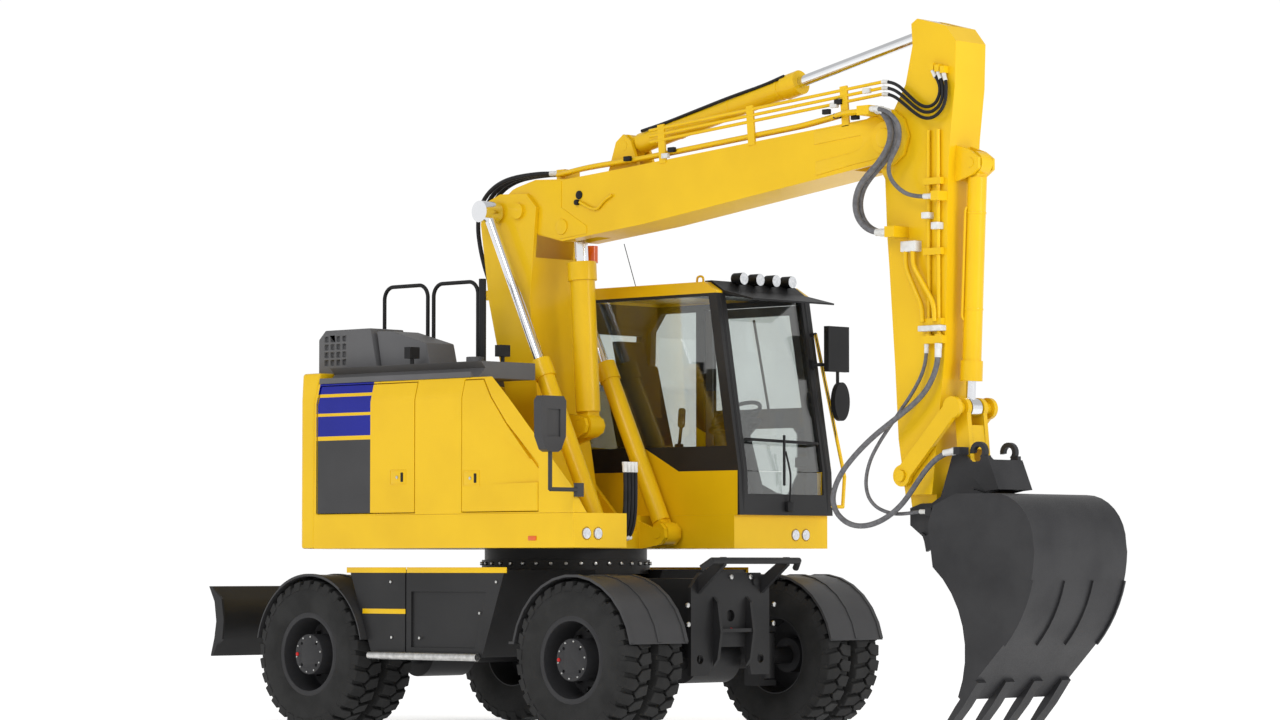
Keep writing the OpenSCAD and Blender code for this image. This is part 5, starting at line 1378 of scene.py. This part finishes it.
@dataclass
class Boom:
    """Fittings of the boom and the arm: doublers, pin heads, clamps, blocks and lines."""

    face: float = -0.298
    far_face: float = 0.058
    arm_face: float = -0.270
    fork: tuple[Flat, ...] = (
        (2.600, 3.992), (2.950, 4.020), (3.130, 4.050), (3.235, 4.000), (3.262, 3.900), (3.225, 3.815),
        (3.132, 3.775), (2.942, 3.752), (2.610, 3.700), (2.610, 3.790), (2.930, 3.830), (3.000, 3.855),
        (3.030, 3.898), (3.000, 3.938), (2.600, 3.905),
    )
    knee_sheet: tuple[Flat, ...] = (
        (0.251, 3.822), (0.251, 3.635), (0.500, 3.492), (0.500, 3.440), (0.223, 3.415), (-0.175, 3.515),
        (-0.300, 3.600), (-0.325, 3.725), (-0.230, 3.790), (-0.040, 3.835),
    )
    fork_thick: float = 0.006
    knee_thick: float = 0.005
    heads: tuple[Quad, ...] = (  # x, z, radius, rise
        (3.210, 3.905, 0.062, 0.030), (0.260, 3.500, 0.055, 0.016), (-0.135, 3.630, 0.085, 0.012),
    )
    port_at: Flat = (0.426, 3.711)
    plug_at: Flat = (0.412, 3.660)
    feed: tuple[Flat, ...] = ((0.440, 3.660), (0.548, 3.609), (0.610, 3.600), (0.680, 3.660), (0.750, 3.690))
    dark_clamps: tuple[Flat, ...] = (
        (2.816, 4.169), (2.712, 4.112), (2.809, 4.078), (2.960, 4.058), (1.317, 3.962), (0.900, 3.930),
    )
    pale_clamps: tuple[Flat, ...] = ((2.779, 4.150), (3.060, 4.222), (1.258, 3.925))
    clamp_half: Flat = (0.030, 0.017)
    arm_pipes: tuple[tuple[Flat, ...], ...] = (
        ((3.392, 3.165), (3.392, 3.053), (3.524, 2.802), (3.530, 2.700)),
        ((3.451, 3.165), (3.451, 3.068), (3.622, 2.816), (3.628, 2.700)),
    )
    pipe_radius: float = 0.016
    top_pipes: Flat = (-0.234, -0.194)
    top_ends: Flat = (-0.385, -0.335)
    top_shift: float = 0.040
    top_route: tuple[Flat, ...] = (
        (1.000, 3.930), (1.395, 3.960), (1.973, 4.005), (2.450, 4.042), (2.720, 4.078),
    )
    arm_blocks: tuple[Quad, ...] = (  # rear, front, bottom, top
        (3.358, 3.485, 3.156, 3.225), (3.532, 3.588, 3.361, 3.402), (3.612, 3.668, 3.289, 3.334),
        (3.500, 3.685, 2.640, 2.676),
    )
    arm_way: Point = (0.97951, 0.0, 0.201395)
    arm_radius: float = 0.070
    arm_bands: Point = (0.45, 0.95, 1.40)
    line_knots: tuple[float, ...] = (0.16, 0.4, 0.7, 1.0, 1.3, 1.5)
    line_side: Flat = (0.060, -0.055)  # up, left
    line_wave: Flat = (0.06, 9.0)  # height, pace
    bucket_way: Point = (-0.044827, 0.0, -0.998995)
    bucket_radius: float = 0.061
    bucket_bands: Flat = (0.310, 0.925)
    bucket_side: Point = (-0.040, -0.062, 0.0)
    # Along the barrel, and shares of the step to its side.
    bucket_pipe: tuple[Flat, ...] = ((0.28, 0.85), (0.30, 1.0), (0.98, 1.0), (1.00, 0.85))

    def build(self) -> None:
        """Makes the fittings."""
        self._plates()
        self._clamps()
        self._arm()
        self._lines()

    def _plates(self) -> None:
        """Sets the doublers and pin heads on both faces of the upper boom, and the port on the right one."""
        pieces = []
        for out, y in ((-1.0, self.face), (1.0, self.far_face)):
            for outline, thick in ((self.fork, self.fork_thick), (self.knee_sheet, self.knee_thick)):
                low, high = sorted((y - 0.004 * out, y + thick * out))
                pieces.append(Bench.plate("doubler", outline, low, high))
            for x, z, radius, rise in self.heads:
                foot, top = (x, y - 0.002 * out, z), (x, y + rise * out, z)
                pieces.append(Bench.bar("head", foot, top, radius, 32, 0.005))
        Bench.group("boom_doublers", pieces, YELLOW, "boom_upper")
        (hole_x, hole_z), (plug_x, plug_z), y = self.port_at, self.plug_at, self.face
        hole = Bench.bar("port_hole", (hole_x, y + 0.002, hole_z), (hole_x, y - 0.008, hole_z), 0.030, 24)
        plug = Bench.bar("plug", (plug_x, y, plug_z), (plug_x, y - 0.024, plug_z), 0.020, 16)
        Bench.group("boom_port", [hole, plug], BLACK, "boom_upper")
        feed = Bench.tube("boom_port_pipe", [(x, y - 0.012, z) for x, z in self.feed], 0.010, 0.04)
        Bench.dress(feed, YELLOW, "boom_upper")

    def _clamps(self) -> None:
        """Lays the boom's wide pipes and sets the clamps."""
        pipes = []
        for y, end in zip(self.top_pipes, self.top_ends):
            along = y - self.top_shift
            route = [(0.150, y, 3.872), (0.340, 0.5 * (y + self.face), 3.890), (0.518, along, 3.906),
                     *((x, along, z) for x, z in self.top_route), (2.940, end, 4.084), (3.110, end, 4.082)]
            pipes.append(Bench.tube("pipe", route, self.pipe_radius, 0.08))
        Bench.group("boom_wide_pipes", pipes, YELLOW, "boom_upper")
        dx, dz = self.clamp_half
        for name, look, places in (("dark", BLACK, self.dark_clamps), ("pale", WHITE, self.pale_clamps)):
            blocks = [Bench.block("clamp", (x - dx, self.face - 0.024, z - dz),
                                  (x + dx, self.face + 0.004, z + dz)) for x, z in places]
            Bench.group(f"boom_clamps_{name}", blocks, look, "boom_upper")

    def _arm(self) -> None:
        """Sets the blocks and the wide pipes on the right face of the arm."""
        y = self.arm_face
        blocks = [Bench.block("block", (x0, y - 0.062, z0), (x1, y + 0.004, z1), 0.005)
                  for x0, x1, z0, z1 in self.arm_blocks]
        Bench.group("arm_blocks", blocks, WHITE, "arm")
        pipes = [Bench.tube("pipe", [(x, y - 0.046, z) for x, z in route], self.pipe_radius, 0.06)
                 for route in self.arm_pipes]
        Bench.group("arm_wide_pipes", pipes, YELLOW, "arm")

    @staticmethod
    def _bands(
        base: Vector, way: Vector, places: Sequence[float], width: float, radius: float
    ) -> list[Piece]:
        """Makes bands of a width around a barrel of a radius, at places along its way from its pin."""
        return [Bench.bar("band", base + t * way, base + (t + width) * way, radius + 0.003, 36)
                for t in places]

    def _lines(self) -> None:
        """Lays the line on the arm's cylinder and the pipe on the bucket's, each with its bands."""
        base, way, body = PINS["arm_barrel_turn"], Vector(self.arm_way), BODY_OF["arm_barrel"]
        up, right = self.line_side
        side = up * Vector((-way.z, 0.0, way.x)) + Vector((0.0, right, 0.0))
        height, pace = self.line_wave
        knots = [base + t * way + (1.0 + height * math.sin(pace * t)) * side for t in self.line_knots]
        Bench.dress(Bench.tube("arm_cylinder_line", Bench.flow(knots), 0.011, 0.0), BLACK, body)
        bands = self._bands(base, way, self.arm_bands, 0.022, self.arm_radius)
        Bench.group("arm_cylinder_bands", bands, YELLOW, body)
        base, way = PINS["bucket_barrel_turn"], Vector(self.bucket_way)
        route = [base + t * way + out * Vector(self.bucket_side) for t, out in self.bucket_pipe]
        pipe = Bench.tube("bucket_cylinder_pipe", route, 0.009, 0.02)
        bands = self._bands(base, way, self.bucket_bands, 0.014, self.bucket_radius)
        Bench.group("bucket_cylinder_fittings", [pipe, *bands], YELLOW, BODY_OF["bucket_barrel"])


@dataclass
class Chassis:
    """Marks and fasteners of the undercarriage."""

    box_face: float = 1.200
    stripes: tuple[Quad, ...] = (  # rear, front, bottom, top
        (-0.958, -0.352, 1.098, 1.136), (-0.344, 0.638, 1.098, 1.136), (-0.793, -0.359, 0.816, 0.850),
    )
    box_bolts: tuple[Flat, ...] = (
        (-0.505, 1.036), (0.540, 1.038), (0.379, 0.827), (-0.214, 0.653), (-0.495, 0.654),
    )
    plate_x: float = 1.570
    plate_bolts: tuple[Flat, ...] = (
        (-0.190, 1.071), (0.0, 1.071), (0.190, 1.071), (-0.430, 0.883), (0.430, 0.883), (-0.423, 0.755),
        (0.423, 0.755),
    )
    plug_height: float = 0.714
    ring_radius: float = 0.590
    ring_height: float = 1.162
    ring_bolts: int = 36
    sink: float = 0.002

    def build(self) -> None:
        """Makes the marks and the fasteners."""
        marks, bolts = [], []
        for side in Side:
            out, y = side.value, side.value * self.box_face
            for x0, x1, z0, z1 in self.stripes:
                low, high = sorted((y - self.sink * out, y + 0.0025 * out))
                marks.append(Bench.block("stripe", (x0, low, z0), (x1, high, z1), 0.001))
            for x, z in self.box_bolts:
                foot, top = (x, y - self.sink * out, z), (x, y + 0.008 * out, z)
                bolts.append(Bench.bar("bolt", foot, top, 0.011, 6))
        back = self.plate_x - self.sink
        for y, z in self.plate_bolts:
            bolts.append(Bench.bar("bolt", (back, y, z), (self.plate_x + 0.014, y, z), 0.018, 6))
        for k in range(self.ring_bolts):
            angle = 2 * math.pi * (k + 0.5) / self.ring_bolts
            way = Vector((math.cos(angle), math.sin(angle), 0.0))
            foot = way * (self.ring_radius - 0.003) + Vector((0.0, 0.0, self.ring_height))
            bolts.append(Bench.bar("bolt", foot, foot + 0.015 * way, 0.013, 6))
        Bench.group("side_box_stripes", marks, YELLOW, "chassis")
        Bench.group("chassis_bolts", bolts, STEEL, "chassis")
        z = self.plug_height
        plug = Bench.bar("front_plate_plug", (back, 0.0, z), (self.plate_x + 0.012, 0.0, z), 0.014)
        Bench.dress(plug, RED, "chassis")


def main() -> None:
    """Builds the studio and every sub-assembly."""
    logging.basicConfig(level=logging.INFO, format="%(message)s")
    skins = Skins()
    for part in (Studio(), Hoses(), skins, Wheels()):
        part.build()
    for part in (SidePanels(), Cab()):
        part.build(skins)
    for part in (Boom(), Chassis()):
        part.build()
    skins.even()


if __name__ == "__main__":
    main()
